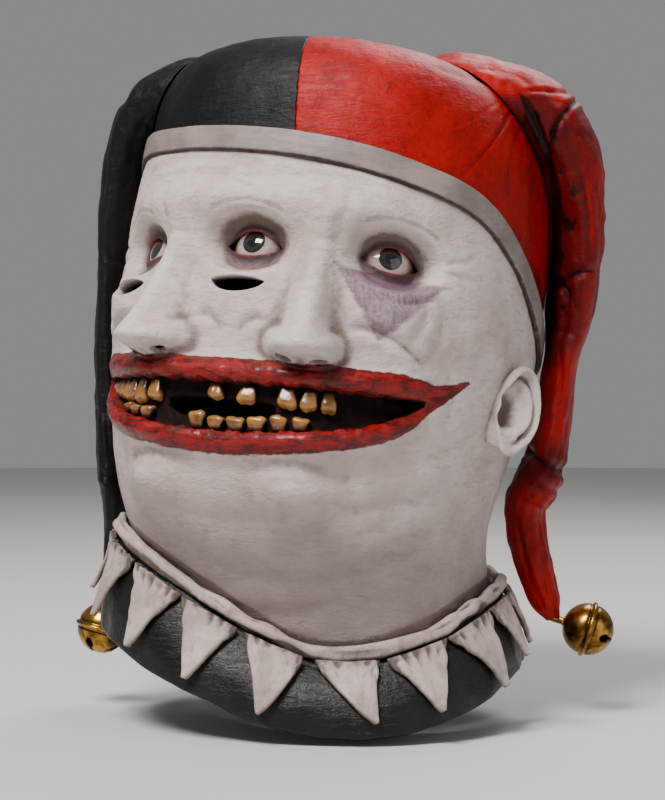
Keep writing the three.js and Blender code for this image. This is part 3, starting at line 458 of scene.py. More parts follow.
def neck_z(turn):
    """Upright height of the neck's end."""
    return z_at(read(neck_route, "at", wrap(turn - cap_turn)))


rim_joint = 1.6


def skin_z(turn, share):
    """Upright height at a share of the way from the joint under the band to the neck's end."""
    top = band_z(turn) - rim_joint / 2
    return top + (neck_z(turn) - top) * share


# The columns stand closest over the faces and widest at the back.
skin_turns = np.concatenate([np.linspace(start, end, count, endpoint=False)
                             for start, end, count in ((-72, 72, 236), (72, 108, 26), (108, 288, 62))])
shares = np.linspace(0, 1, 222)
inner_shares = np.linspace(1, 0, 34)
turn, share = np.meshgrid(wrap(skin_turns), shares)
outer = skin(turn, skin_z(turn, share))


def inside(turn, z, depth):
    """A point of the hollow: the skin less the wall, which is thicker behind the mouth and the eyes."""
    rough = skin(turn, z, fine=False)
    extra = mouth_wall_extra * hill(z - mouth_line(turn), 26, 4) * hill(turn, mouth_turn, 6)
    behind_eyes = np.max([hill((turn - eye) * 2, 27 * 0.85, 4) for eye in eye_turns], axis=0)
    pad = eye_pad * behind_eyes * hill(z - z_at(eye_at), 20, 4)
    radius = np.hypot(rough[..., 0], rough[..., 1])
    bare = bare_radius(turn, z)
    bare = bare + 0.6 * np.maximum(0, radius - bare)
    fine = skin(turn, z)
    fine_radius = np.hypot(fine[..., 0], fine[..., 1])
    reach = np.minimum(np.minimum(radius, bare) - depth - extra - pad, fine_radius - depth + 0.4)
    return np.stack([rough[..., 0] * reach / radius, rough[..., 1] * reach / radius, rough[..., 2]], -1)


turn, share = np.meshgrid(wrap(skin_turns), inner_shares)
inner = inside(turn, skin_z(turn, share), wall)


def blur(field, times):
    """Averages a grid with its neighbours, round the columns and up to the end rows."""
    for _ in range(times):
        field = (np.roll(field, 1, 1) + 2 * field + np.roll(field, -1, 1)) / 4
        padded = np.concatenate([field[:1], field, field[-1:]])
        field = (padded[:-2] + 2 * padded[1:-1] + padded[2:]) / 4
    return field


def dents(field, times, depth, least=0.0):
    """How far a grid lies under its own blur, from 0 at the least to 1 at a depth beyond it: there the dark
    wash and the painted shade of the hollows gather."""
    return np.clip((blur(field, times) - field - least) / depth, 0, 1)


def grid_faces(rows, columns, closed=False):
    """Quads over rows of columns, each row joined round; closed joins the last row to the first as well."""
    j, i = np.meshgrid(np.arange(rows if closed else rows - 1), np.arange(columns), indexing="ij")
    right = (i + 1) % columns
    below = (j + 1) % rows
    corners = (j * columns + i, j * columns + right, below * columns + right, below * columns + i)
    return np.stack(corners, -1).reshape(-1, 4).tolist()


def store(piece, **values):
    """Numbers kept at each point of a mesh for its material."""
    for name, numbers in values.items():
        layer = piece.data.attributes.new(name, "FLOAT", "POINT")
        layer.data.foreach_set("value", np.asarray(numbers, np.float32).ravel())


height = np.hypot(outer[..., 0], outer[..., 1])
# A dark wash in the narrow creases, and painted shade over the broad hollows.
hollows = blur(0.75 * dents(height, 5, 0.8) + 0.5 * dents(height, 40, 4), 2)
swells = np.clip((height - blur(height, 8)) / 0.8, 0, 1)
skin_material, skin_tree, skin_shader = new_material("face_latex", 0.55)
skin_faces = grid_faces(len(shares) + len(inner_shares), len(skin_turns), closed=True)
head = new_piece("head_skin", lean(np.concatenate([outer, inner])), skin_faces, skin_material)
hidden = np.zeros(inner[..., 0].size)
# kept is 1 on the outside and 2 on the lining, and stays 0 at points that a cut makes.
store(head, kept=np.append(np.ones(height.size), hidden + 2), wash=np.append(hollows, hidden),
      swell=np.append(swells, hidden))


def loft(rings):
    """A closed skin through rings of points: quads between them and a fan of triangles over each end."""
    rows, columns = rings.shape[:2]
    points = np.concatenate([rings.reshape(-1, 3), rings[0].mean(0)[None], rings[-1].mean(0)[None]])
    i = np.arange(columns)
    right = (i + 1) % columns
    last = (rows - 1) * columns
    first_fan = np.stack([np.full(columns, rows * columns), right, i], -1)
    last_fan = np.stack([np.full(columns, rows * columns + 1), last + i, last + right], -1)
    return points, grid_faces(rows, columns) + first_fan.tolist() + last_fan.tolist()


def carve(piece, cutter, operation="DIFFERENCE"):
    """Cuts, joins or trims a piece with a cutter, which is then removed."""
    modifier = piece.modifiers.new("carve", "BOOLEAN")
    modifier.object = cutter
    modifier.operation = operation
    modifier.solver = "MANIFOLD"
    shaped = piece.evaluated_get(bpy.context.evaluated_depsgraph_get())
    mesh = bpy.data.meshes.new_from_object(shaped)
    piece.modifiers.clear()
    piece.data = mesh
    bpy.data.objects.remove(cutter)


def cutter(rings):
    """A solid cutter through rings of points."""
    return new_piece("cutter", *loft(rings), skin_material)


def almond(middle, turn, half_wide, high, low, near, far, sharp=1.7):
    """An almond-shaped cutter that faces out of the head at a turn: its half heights above and below, and how
    far it runs from the middle point inward and outward."""
    around = circle(64)
    across = half_wide * np.cos(around)
    rise = np.where(np.sin(around) > 0, high, -low) * np.abs(np.sin(around)) ** sharp
    ring = middle + across[:, None] * sideways(turn) + rise[:, None] * upward
    return cutter(lean(np.stack([ring + far_out * outward(turn) for far_out in (near, far)])))


def eye_cap(number, extra, rows):
    """The round cap of an eye in rings: a flat back and a ball's surface, grown by extra."""
    eye = eye_turns[number]
    ball = eyeball_radius + extra
    rim = eye_rim + extra
    back = eyeball_radius - eye_thick - extra
    sweep = np.arcsin(rim / ball)
    tilt = np.linspace(sweep, 0.02, rows)
    radii = np.concatenate([[0.4, rim * 0.6, rim - 0.6, rim], ball * np.sin(tilt)])
    outs = np.concatenate([[back, back, back, back + 0.3], np.maximum(ball * np.cos(tilt), back + 0.6)])
    around = circle(64)
    ring = np.cos(around)[:, None] * sideways(eye) + np.sin(around)[:, None] * upward
    return lean(ball_centres[number] + radii[:, None, None] * ring + outs[:, None, None] * outward(eye))


lid_wide, lid_high, lid_low = 15.2, 7.6, 5.6
# Each peep hole has a turn, its half width, and its heights above and below its middle.
peep_drop = 21
peeps = ((0, 15.0, 2.6, 6.6), (-eye_turn, 13.5, 3.2, 6.2))
for number, eye in enumerate(eye_turns):
    carve(head, cutter(eye_cap(number, gap, 24)))
    carve(head, almond(ball_centres[number], eye, lid_wide, lid_high, lid_low, 7.6, 40))
for eye, half_wide, high, low in peeps:
    middle = skin(eye, z_at(eye_at) - peep_drop, fine=False)
    carve(head, almond(middle, eye, half_wide, high, low, -26, 18, 1.4))


def gum_radius(turn):
    """Radius of the gum behind the teeth."""
    surface = skin(turn, mouth_line(turn), fine=False)
    return np.hypot(surface[..., 0], surface[..., 1]) - mouth_recess


def mouth_cutter(turns, floor_out, roof_out, half):
    """The hollow between the lips, from a floor to beyond the skin, along the line of the mouth."""
    ring = np.array([(floor_out, -1), (floor_out, -0.3), (floor_out, 0.3), (floor_out, 1), (roof_out, 1.1),
                     (roof_out, -1.1)])
    wavy = half * (1 + 0.05 * np.sin(turns * 0.9) + 0.04 * np.sin(turns * 2.3 + 1))
    radius = gum_radius(turns)[:, None] + ring[None, :, 0]
    points = radius[..., None] * outward(turns)[:, None, :]
    points[..., 2] = mouth_line(turns)[:, None] + ring[None, :, 1] * wavy[:, None]
    return cutter(lean(points))


turns = np.linspace(-0.97 * mouth_turn, 0.97 * mouth_turn, 90)
carve(head, mouth_cutter(turns, 0, 30, np.maximum(mouth_half(turns), 0.5)))
turns = np.linspace(-17.5, 15.5, 24)
carve(head, mouth_cutter(turns, -34, 6, 4.4 * (1 - np.abs((turns + 1) / 17.5) ** 6) + 0.6))

nostril_apart, nostril_wide, nostril_deep, nostril_long = 4.6, 4.4, 2.9, 8.5
around = circle(24)
rise = np.linspace(-1, 1, 15) * np.pi / 2 * 0.98
for hand, wing in ((-1, -1), (-1, 1), (1, -1), (1, 1)):
    ahead = outward(hand * face_turn + wing * nostril_apart)
    surface = skin(hand * face_turn + wing * nostril_apart, z_at(nose_base_at) - 2.5, fine=False)
    along_nose = 0.86 * upward - 0.5 * ahead
    beside = np.cross(along_nose, ahead)
    beside /= np.linalg.norm(beside)
    ring = (nostril_wide * np.cos(around)[:, None] * beside
            + nostril_deep * np.sin(around)[:, None] * np.cross(beside, along_nose))
    rings = (surface - 1.4 * ahead + np.cos(rise)[:, None, None] * ring
             + nostril_long * np.sin(rise)[:, None, None] * along_nose)
    carve(head, cutter(lean(rings)))


def sample(field, turn, share):
    """Reads a grid of the skin at turns and shares between its points."""
    turns = np.append(skin_turns, skin_turns[0] + 360)
    column = np.interp(np.where(turn < skin_turns[0], turn + 360, turn), turns, np.arange(len(turns)))
    row = np.clip(share, 0, 1) * (field.shape[0] - 1)
    c0 = np.floor(column).astype(int)
    r0 = np.minimum(np.floor(row).astype(int), field.shape[0] - 2)
    c, r = column - c0, row - r0
    c0, c1 = c0 % field.shape[1], (c0 + 1) % field.shape[1]
    return ((field[r0, c0] * (1 - c) + field[r0, c1] * c) * (1 - r)
            + (field[r0 + 1, c0] * (1 - c) + field[r0 + 1, c1] * c) * r)


def numbers_of(piece, name):
    """The numbers kept at a mesh's points."""
    values = np.zeros(len(piece.data.vertices), np.float32)
    piece.data.attributes[name].data.foreach_get("value", values)
    return values


def from_eye(turn, z, eye):
    """How far skin lies beside an eye's middle and above it; the far side of the head counts as 90 mm off."""
    side = bare_radius(turn, z) * np.sin((turn - eye) * degrees)
    return np.where(np.abs(turn - eye) < 60, side, 90), z - z_at(eye_at)


def paint_skin(piece):
    """Stores for each point of a piece of skin where it lies: upright height, distances to the lips, lids,
    brows and patch in millimetres, and whether it is gum or lining, which is painted dark as shade. A point made
    by a cut takes its wash and painted shade from the skin beside it."""
    place = upright(mesh_points(piece))
    turn = np.arctan2(place[:, 0], -place[:, 1]) / degrees
    z = place[:, 2]
    top = band_z(turn) - rim_joint / 2
    share = (z - top) / (neck_z(turn) - top)
    radius = np.hypot(place[:, 0], place[:, 1])
    kept = numbers_of(piece, "kept")
    depth = np.where(kept > 0, 0, sample(height, turn, share) - radius)
    bite = np.abs(turn) / mouth_turn
    corner = np.clip(1.22 - bite, 0, 0.4) / 0.4
    reach = mouth_half(turn) + lip_high * 1.02 * corner ** 0.8
    centre = mouth_line(turn) + 0.6 + 17 * np.clip(bite - 0.9, 0, 1) ** 1.2
    bow = 2.0 * hill(np.abs(turn) - face_turn, 5) * (z > centre)
    lip = np.where(bite < 1.22, reach - bow - np.abs(z - centre), -20)
    gum = ramp(depth, 3.2, 5.6) * (np.abs(z - mouth_line(turn)) < mouth_half(turn) + 3.5) * (bite < 1)
    lids = np.full(len(turn), 40.0)
    socket = np.zeros(len(turn))
    brow = np.full(len(turn), 40.0)
    for eye in eye_turns:
        side, up = from_eye(turn, z, eye)
        edge = np.where(up > 0, lid_high, lid_low) * np.clip(1 - (side / lid_wide) ** 2, 0, 1) ** 0.85
        past = np.abs(side) - lid_wide
        lids = np.minimum(lids, np.where(past < 0, np.abs(up) - edge, np.hypot(past, up)))
        socket = np.maximum(socket, hill(np.hypot(side / 23, (up + 3) / 15), 1, 2.6))
        arch = 19.5 - (side / 22) ** 2 * 5
        brow = np.minimum(brow, np.hypot(np.maximum(np.abs(side) - 19, 0), up - arch))
    side, up = from_eye(turn, z, eye_turn)
    sides = np.minimum((up + 35) * 0.8 - (side - 4) * 0.9, (up + 35) * 0.8 + (side + 10) * 1.1)
    patch = np.minimum(-7.0 - up, sides)
    # The lining is painted dark, as the shade inside the hollow.
    lining = np.where(kept > 0, kept > 1.5, ramp(depth, 4.5, 7) * (gum < 0.2))
    wash = np.where(kept > 0, numbers_of(piece, "wash"), sample(hollows, turn, share))
    # Painted shade: a dark line on the skin just under the band and just above the neck's end, under the collar.
    joint_shade = np.minimum(1, (1 - ramp(top - z, 6.2, 7.7)) + (1 - ramp(z - neck_z(turn), 4.5, 8.5)))
    wash = wash + 0.9 * joint_shade * (kept < 1.5)
    piece.data.attributes["wash"].data.foreach_set("value", wash.astype(np.float32))
    store(piece, lip=lip, gum=gum, inside=lining, lids=lids, socket=socket, brow=brow, patch=patch, level=z)


paint_skin(head)

def texture(tree, kind, scale, stretch):
    """A texture in the object's own coordinates; stretch sets its grain along each axis."""
    place = tree.nodes.new("ShaderNodeTexCoord")
    mapping = tree.nodes.new("ShaderNodeMapping")
    mapping.inputs["Scale"].default_value = stretch
    node = tree.nodes.new(kind)
    node.inputs["Scale"].default_value = scale
    tree.links.new(place.outputs["Object"], mapping.inputs["Vector"])
    tree.links.new(mapping.outputs["Vector"], node.inputs["Vector"])
    return node


def noise(tree, scale, detail=4, rough=0.55, stretch=(1, 1, 1), warp=0.0):
    """Cloudy noise from 0 to 1."""
    node = texture(tree, "ShaderNodeTexNoise", scale, stretch)
    node.inputs["Detail"].default_value = detail
    node.inputs["Roughness"].default_value = rough
    node.inputs["Distortion"].default_value = warp
    return node.outputs["Fac"]


def cells(tree, scale, stretch=(1, 1, 1)):
    """Distance to the edges of cells, for pores and cracks."""
    node = texture(tree, "ShaderNodeTexVoronoi", scale, stretch)
    node.feature = "DISTANCE_TO_EDGE"
    return node.outputs["Distance"]


def painted(tree, name):
    """A number stored at each point of the mesh."""
    node = tree.nodes.new("ShaderNodeAttribute")
    node.attribute_name = name
    return node.outputs["Fac"]


def step(tree, value, low, high):
    """0 below low, 1 above high, smooth between."""
    node = tree.nodes.new("ShaderNodeMapRange")
    node.interpolation_type = "SMOOTHSTEP"
    if low > high:
        low, high = high, low
        node.inputs["To Min"].default_value = 1
        node.inputs["To Max"].default_value = 0
    node.inputs["From Min"].default_value = low
    node.inputs["From Max"].default_value = high
    feed(tree, node.inputs["Value"], value)
    return node.outputs["Result"]


def calc(tree, operation, a, b=0.0, c=0.0):
    """One sum, product, or the like."""
    node = tree.nodes.new("ShaderNodeMath")
    node.operation = operation
    for socket, value in zip(node.inputs, (a, b, c)):
        feed(tree, socket, value)
    return node.outputs["Value"]


def blend(tree, share, a, b):
    """Colour a where share is 0 and b where it is 1."""
    node = tree.nodes.new("ShaderNodeMix")
    node.data_type = "RGBA"
    feed(tree, node.inputs[0], share)
    feed(tree, node.inputs[6], a)
    feed(tree, node.inputs[7], b)
    return node.outputs[2]


def tint(tree, colour, share, most, shade):
    """A colour under a thin coat of another, which hides most of it where share is 1."""
    return blend(tree, calc(tree, "MULTIPLY", share, most), colour, shade)


def bump(tree, shader, *layers):
    """Bumps laid over each other: each has a height from 0 to 1, its depth in millimetres and a strength."""
    normal = None
    for height, depth, strength in layers:
        node = tree.nodes.new("ShaderNodeBump")
        node.inputs["Distance"].default_value = depth / 1000
        node.inputs["Strength"].default_value = strength
        feed(tree, node.inputs["Height"], height)
        if normal is not None:
            tree.links.new(normal, node.inputs["Normal"])
        normal = node.outputs["Normal"]
    tree.links.new(normal, shader.inputs["Normal"])


tree, shader = skin_tree, skin_shader
wash = painted(tree, "wash")
cloud = noise(tree, 34, 5, 0.6)
grain = noise(tree, 260, 4, 0.65)
brush = noise(tree, 90, 5, 0.65, stretch=(1, 1, 3.4), warp=0.5)
fine = noise(tree, 900, 3, 0.6)
pores = cells(tree, 620)
colour = blend(tree, step(tree, cloud, 0.35, 0.7), (206, 194, 188), (184, 169, 163))
colour = tint(tree, colour, step(tree, brush, 0.5, 0.7), 0.5, (158, 142, 136))
colour = tint(tree, colour, step(tree, painted(tree, "swell"), 0.25, 1.0), 0.35, (226, 219, 214))
# Random grime, with the wash and painted shade of the creases, darkens the skin.
grime_and_shade = calc(tree, "MULTIPLY_ADD", grain, 0.7, calc(tree, "MULTIPLY", wash, 1.25))
colour = tint(tree, colour, step(tree, grime_and_shade, 0.62, 1.5), 0.85, (96, 76, 70))
# Painted shadow under the jaw, broken by brushed streaks: the skin darkens downward over the neck.
neck_shadow_and_streaks = step(tree, calc(tree, "MULTIPLY_ADD", brush, 60, painted(tree, "level")), -196, -268)
colour = tint(tree, colour, neck_shadow_and_streaks, 0.62, (110, 93, 88))
around_eyes = calc(tree, "MULTIPLY_ADD", grain, 0.35, painted(tree, "socket"))
colour = tint(tree, colour, step(tree, around_eyes, 0.5, 1.3), 0.75, (98, 72, 82))
patch_edge = calc(tree, "MULTIPLY_ADD", brush, 7, painted(tree, "patch"))
hatch = noise(tree, 240, 3, 0.7, stretch=(2.2, 2.2, 0.5))
hatch = calc(tree, "MULTIPLY_ADD", hatch, 0.9, 0.3)
colour = tint(tree, colour, step(tree, patch_edge, 2.2, 5.8), hatch, (104, 74, 92))
brow_edge = calc(tree, "SUBTRACT", painted(tree, "brow"), calc(tree, "MULTIPLY", brush, 2.2))
colour = tint(tree, colour, step(tree, brow_edge, 0.9, -0.7), 0.4, (88, 74, 70))
# A dark liner round each eye opening, painted also as the shade of the lids, and inside it a red rim.
rim = calc(tree, "MULTIPLY_ADD", grain, 1.4, painted(tree, "lids"))
colour = tint(tree, colour, step(tree, rim, 6.4, 2.2), 0.85, (52, 34, 36))
colour = blend(tree, step(tree, rim, 2.1, 0.8), colour, (132, 46, 42))
lip_edge = calc(tree, "MULTIPLY_ADD", grain, 1.6, painted(tree, "lip"))
lip_edge = calc(tree, "MULTIPLY_ADD", brush, 3.0, lip_edge)
lip_share = step(tree, lip_edge, 1.9, 2.7)
lip_red = blend(tree, step(tree, brush, 0.38, 0.64), (142, 2, 2), (70, 1, 1))
lip_red = blend(tree, step(tree, lip_edge, 3.6, 2.2), lip_red, (80, 3, 4))
lip_red = tint(tree, lip_red, step(tree, wash, 0.25, 0.9), 0.7, (46, 3, 4))
colour = blend(tree, lip_share, colour, lip_red)
gum = painted(tree, "gum")
colour = blend(tree, gum, colour, blend(tree, step(tree, grain, 0.4, 0.7), (12, 5, 4), (34, 12, 9)))
# Painted shade: the lining takes a dark colour, because the inside of the hollow lies in shade.
inside_shade = painted(tree, "inside")
colour = blend(tree, inside_shade, colour, (54, 46, 42))
feed(tree, shader.inputs["Base Color"], colour)
rough = calc(tree, "MULTIPLY_ADD", grain, 0.22, 0.42)
rough = calc(tree, "SUBTRACT", rough, calc(tree, "MULTIPLY", lip_share, 0.30))
rough = calc(tree, "ADD", rough, calc(tree, "MAXIMUM", gum, inside_shade))
feed(tree, shader.inputs["Roughness"], rough)
shader.inputs["Specular IOR Level"].default_value = 0.25
wet = calc(tree, "SUBTRACT", lip_share, calc(tree, "MAXIMUM", gum, inside_shade))
feed(tree, shader.inputs["Coat Weight"], calc(tree, "MULTIPLY", calc(tree, "MAXIMUM", wet, 0), 0.22))
shader.inputs["Coat Roughness"].default_value = 0.1
ripples = noise(tree, 150, 5, 0.7, stretch=(1, 1, 1.8), warp=1.4)
bump(tree, shader, (ripples, 1.5, 0.7), (brush, 0.9, 0.65), (grain, 0.5, 0.7), (pores, 0.15, 0.35),
     (fine, 0.1, 0.5))
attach(head, "root")
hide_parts("head_shell")

# Ears
# Cast in one with the skin: a shell with a rolled rim, an inner ridge, a bowl and a lobe. The right one lies
# pressed flat under the black tail.
ear_at = 0.715
ear_lean = 17
ear_size = 0.92
ear_high, ear_wide = 30, 16
ear_outline = table("angle reach",
    (0, 1.0), (40, 1.0), (80, 0.98), (120, 0.86), (160, 0.72), (200, 0.68), (240, 0.80), (270, 0.96),
    (300, 0.84), (330, 0.90), (360, 1.0))


def ear(hand, turn, proud):
    """Rings from the ear's middle over its face to the rim, round it, and down its back into the head."""
    middle = skin(hand * turn, z_at(ear_at), fine=False)
    angle = np.arange(96) * 360 / 96
    reach = read(ear_outline, "reach", angle)
    face_rows = 34
    r = np.concatenate([np.linspace(0.03, 0.97, face_rows), [1.0, 1.0, 0.96], np.linspace(0.9, 0.66, 8)])
    r = r[:, None]
    behind = np.cos(angle * degrees) * np.ones_like(r)
    upper = np.sin(angle * degrees) * np.ones_like(r)
    back = ear_wide * reach * behind * r
    up = ear_high * reach * upper * r
    slope = proud * (0.62 + 0.38 * back / ear_wide)
    # The rolled rim and the groove inside it, the inner ridge, then the hollows and knobs of the bowl and lobe.
    outer_part = ramp(behind * 0.8 + upper * 0.5, -0.75, 0.0)
    high = (2.8 * hill(r - 0.91, 0.085) * outer_part - 2.4 * hill(r - 0.74, 0.07) * outer_part
            + 2.0 * hill(r - 0.58, 0.11) * ramp(behind, -0.1, 0.5) * ramp(up, -17, -9)
            - 1.6 * hill(np.hypot((back - 1) / 4.5, (up - 14) / 4.5), 1)
            - 9.5 * hill(np.hypot((back + 3.2) / 7.2, (up + 3) / 10.5), 1, 3)
            + 3.6 * hill(np.hypot((back + 12.4) / 3.6, (up + 4) / 5), 1)
            + 2.4 * hill(np.hypot((back - 2) / 4.5, (up + 16.5) / 4), 1)
            + 1.8 * hill(np.hypot(back / 7, (up + 24) / 5), 1))
    out = slope + high * proud / 15
    rows = np.arange(len(r))[:, None]
    edge = slope - 2.6 * ramp(rows, face_rows, face_rows + 2.5) * proud / 15
    out = np.where(rows > face_rows, np.minimum(edge, out), out)
    sink = ramp(rows, face_rows + 2, len(r) - 1)
    out = out * (1 - sink) - 6 * sink
    c, s = ear_size * np.cos(ear_lean * degrees), ear_size * np.sin(ear_lean * degrees)
    rings = (middle + hand * (back * c + up * s)[..., None] * sideways(hand * turn)
             + (up * c - back * s)[..., None] * upward + out[..., None] * outward(hand * turn))
    rings = rings + 0.25 * lumps(rings, 5, 44)[..., None] * outward(hand * turn)
    # The second result is its wash and painted shade: darker in the folds, and much darker in the deep bowl.
    return lean(rings), 0.9 * dents(out, 8, 1.2) + 1.5 * np.clip(-high / 10, 0, 1)


# Each ear has its side, its turn from the front, and how far its rim stands out.
ears = {"ear_left": (1, 87, 15), "ear_right": (-1, 87, 6)}
for name in ears:
    rings, ear_wash = ear(*ears[name])
    shell = new_piece(name, *loft(rings), skin_material)
    store(shell, kept=np.ones(ear_wash.size + 2), wash=np.append(ear_wash, [0.9, 0]))
    paint_skin(shell)
    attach(shell, "root")

# Eyes
# Three caps of clear-coated resin, painted with a veined white, a dark grey iris that looks a little up and a
# black pupil, and glued in behind the lids.
iris_edge = (6.3, 5.8)
pupil_edge = (3.25, 2.9)
glance_aside, glance_up = (1.5, 0, -1.0), 2.2
eye_nodes = ("eye_right_face_outer", "eye_shared", "eye_left_face_outer")
eye_material, tree, shader = new_material("eye_resin", 0.08)
from_iris = painted(tree, "from_iris")
spoke = painted(tree, "spoke")
veins = noise(tree, 420, 4, 0.7, warp=2.0)
colour = blend(tree, step(tree, veins, 0.52, 0.68), (180, 167, 161), (156, 112, 105))
colour = blend(tree, step(tree, from_iris, 8.5, 13.0), colour, (138, 96, 90))
streaks = tree.nodes.new("ShaderNodeTexNoise")
streaks.noise_dimensions = "1D"
streaks.inputs["Scale"].default_value = 22
streaks.inputs["Detail"].default_value = 3
tree.links.new(spoke, streaks.inputs["W"])
iris = blend(tree, step(tree, streaks.outputs["Fac"], 0.35, 0.7), (18, 20, 19), (46, 50, 47))
iris = blend(tree, step(tree, from_iris, 4.6, 5.8), iris, (20, 20, 20))
colour = blend(tree, step(tree, from_iris, *iris_edge), colour, iris)
colour = blend(tree, step(tree, from_iris, *pupil_edge), colour, (4, 4, 4))
feed(tree, shader.inputs["Base Color"], colour)
shader.inputs["Coat Weight"].default_value = 1.0
shader.inputs["Coat Roughness"].default_value = 0.03
for number, (node, eye) in enumerate(zip(eye_nodes, eye_turns)):
    lens = new_piece(node.replace("eye", "eye_lens"), *loft(eye_cap(number, 0, 40)), eye_material)
    local = upright(mesh_points(lens)) - ball_centres[number]
    across = local @ sideways(eye) - glance_aside[number]
    rise = local[:, 2] - glance_up
    store(lens, from_iris=np.where(local @ outward(eye) > 6, np.hypot(across, rise), 12),
          spoke=np.arctan2(rise, across))
    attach(lens, "root")
    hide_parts(node)

# Teeth
# Twenty-one worn crowns of hard resin set in the gum: each is a rounded peg, wider at its shoulder, chipped at
# its edge, painted golden brown with dark rot at the root and between.
tooth_deep = 5
tooth_swell = 1.12
teeth = table("way turn wide high askew",
    (1, -49, 5.9, 6.5, 3), (1, -45, 6.5, 8.3, -4), (1, -40.5, 7.0, 9.4, 3), (1, -35.8, 7.0, 10.6, -3),
    (1, -31, 7.6, 10.6, 2), (1, -26, 8.1, 11.8, -5), (1, -20.5, 8.1, 10.6, 4), (1, -2, 7.6, 7.7, 8),
    (1, 7.5, 8.6, 8.8, -9), (1, 18.5, 8.6, 10.0, 6), (1, 24, 7.6, 10.4, -3), (1, 29, 7.0, 10.0, 4),
    (-1, -33, 7.0, 4.6, 4), (-1, -28, 7.6, 5.4, -3), (-1, -22.5, 7.6, 6.6, 2), (-1, -6.5, 8.1, 8.8, -6),
    (-1, -1, 8.1, 7.1, 5), (-1, 5, 8.6, 7.1, -4), (-1, 11, 8.6, 7.7, 5), (-1, 17, 7.6, 8.0, -5),
    (-1, 22.5, 7.6, 6.6, 6))
tooth_form = table("at wide deep",
    (0.0, 0.74, 0.70), (0.2, 0.84, 0.84), (0.5, 0.98, 1.0), (0.72, 1.03, 1.02), (0.88, 0.95, 0.86),
    (0.97, 0.72, 0.56), (1.0, 0.42, 0.34))

tooth_material, tree, shader = new_material("tooth_enamel", 0.3)
near_root = calc(tree, "SUBTRACT", 0.62, painted(tree, "down"))
rot = calc(tree, "MULTIPLY_ADD", noise(tree, 330, 4, 0.65), 0.75, near_root)
rot = calc(tree, "ADD", rot, calc(tree, "MULTIPLY", painted(tree, "flank"), 0.55))
colour = blend(tree, step(tree, noise(tree, 150, 3), 0.35, 0.68), (156, 104, 42), (104, 62, 22))
colour = blend(tree, step(tree, rot, 0.5, 1.1), colour, (22, 9, 4))
colour = tint(tree, colour, step(tree, painted(tree, "down"), 0.55, 0.95), 0.3, (196, 152, 84))
feed(tree, shader.inputs["Base Color"], colour)
feed(tree, shader.inputs["Roughness"], calc(tree, "MULTIPLY_ADD", noise(tree, 500), 0.3, 0.14))
shader.inputs["Coat Weight"].default_value = 0.6
shader.inputs["Coat Roughness"].default_value = 0.12
bump(tree, shader, (noise(tree, 420, 4, 0.65, stretch=(1, 1, 0.4)), 0.5, 0.7))

down = np.concatenate([np.linspace(0, 0.9, 16), [0.94, 0.97, 0.99, 1.0]])
around = circle(28)
# A crown's cross-section is a superellipse, and its edge is chipped in waves that differ from tooth to tooth.
c, s = np.cos(around), np.sin(around)
square = (np.abs(c) ** 3.2 + np.abs(s) ** 3.2) ** (-1 / 3.2)
across = 0.5 * c * square
out = 0.5 + 0.5 * s * square
for number, (way, turn, wide, high, askew) in enumerate(zip(*teeth.values())):
    root = mouth_line(turn) + way * (mouth_half(turn) - 1.0)
    forward = outward(turn)
    beside = sideways(turn)
    form_wide = read(tooth_form, "wide", down)[:, None] * wide * tooth_swell
    form_deep = read(tooth_form, "deep", down)[:, None] * tooth_deep
    fall = down[:, None] * high * (1 + 0.06 * np.sin(number * 2.1 + 3 * c)[None, :] * down[:, None] ** 3)
    slant = np.tan(askew * degrees) * (fall - high / 2)
    rings = ((gum_radius(turn) + 0.5 + form_deep * out)[..., None] * forward
             + (form_wide * across + slant)[..., None] * beside)
    rings[..., 2] = root - way * fall
    bulge = 0.42 * lumps(rings + number * 7.7, 2.8, 71)
    rings = rings + bulge[..., None] * (forward + 0.5 * beside)
    node = "tooth_%s_%02d" % ("upper" if way > 0 else "lower", number + 1)
    crown = new_piece(node.replace("tooth", "crown"), *loft(lean(rings)), tooth_material)
    flank = ramp(np.abs(across)[None, :] * 2 * np.ones_like(fall), 0.78, 1.0)
    store(crown, down=np.append(down[:, None] * np.ones_like(fall), [0, 1]), flank=np.append(flank, [0, 0]))
    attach(crown, "root")
    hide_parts(node)

# Band
# A flat strip of grey-painted latex, cast over the joint of skin and cap, with softened edges and a dark line
# of painted shade on the skin under it.
band_high = 12.5
band_profile = table("share out up",
    (0, 0.3, -0.5), (0.12, 1.6, -0.515), (0.2, 2.9, -0.48), (0.27, 3.2, -0.42), (0.36, 3.25, -0.2),
    (0.5, 3.35, 0), (0.64, 3.25, 0.2), (0.73, 3.2, 0.42), (0.8, 2.9, 0.48), (0.88, 1.6, 0.515),
    (1.0, 0.3, 0.5))
around_head = np.linspace(-180, 180, 560, endpoint=False)
section = np.linspace(0, 1, 26)
out = read(band_profile, "out", section)[None, :]
up = read(band_profile, "up", section)[None, :] * band_high
turn_grid = around_head[:, None]
radius = bare_radius(turn_grid, band_z(turn_grid)) + out
points = radius[..., None] * outward(turn_grid)
points[..., 2] = band_z(turn_grid) + up
wave = 0.35 * lumps(points, 14, 21, 3) * ramp(np.broadcast_to(out, radius.shape), 1.0, 3.0)
points = lean(points + wave[..., None] * (outward(turn_grid) + 0.6 * upward))
band_material, tree, shader = new_material("band_latex", 0.55)
edge = painted(tree, "edge")
brushed = noise(tree, 120, 5, 0.65, stretch=(1, 1, 3.5), warp=0.4)
colour = blend(tree, step(tree, noise(tree, 40, 4), 0.35, 0.68), (140, 129, 125), (114, 104, 100))
colour = tint(tree, colour, step(tree, brushed, 0.5, 0.72), 0.4, (88, 78, 74))
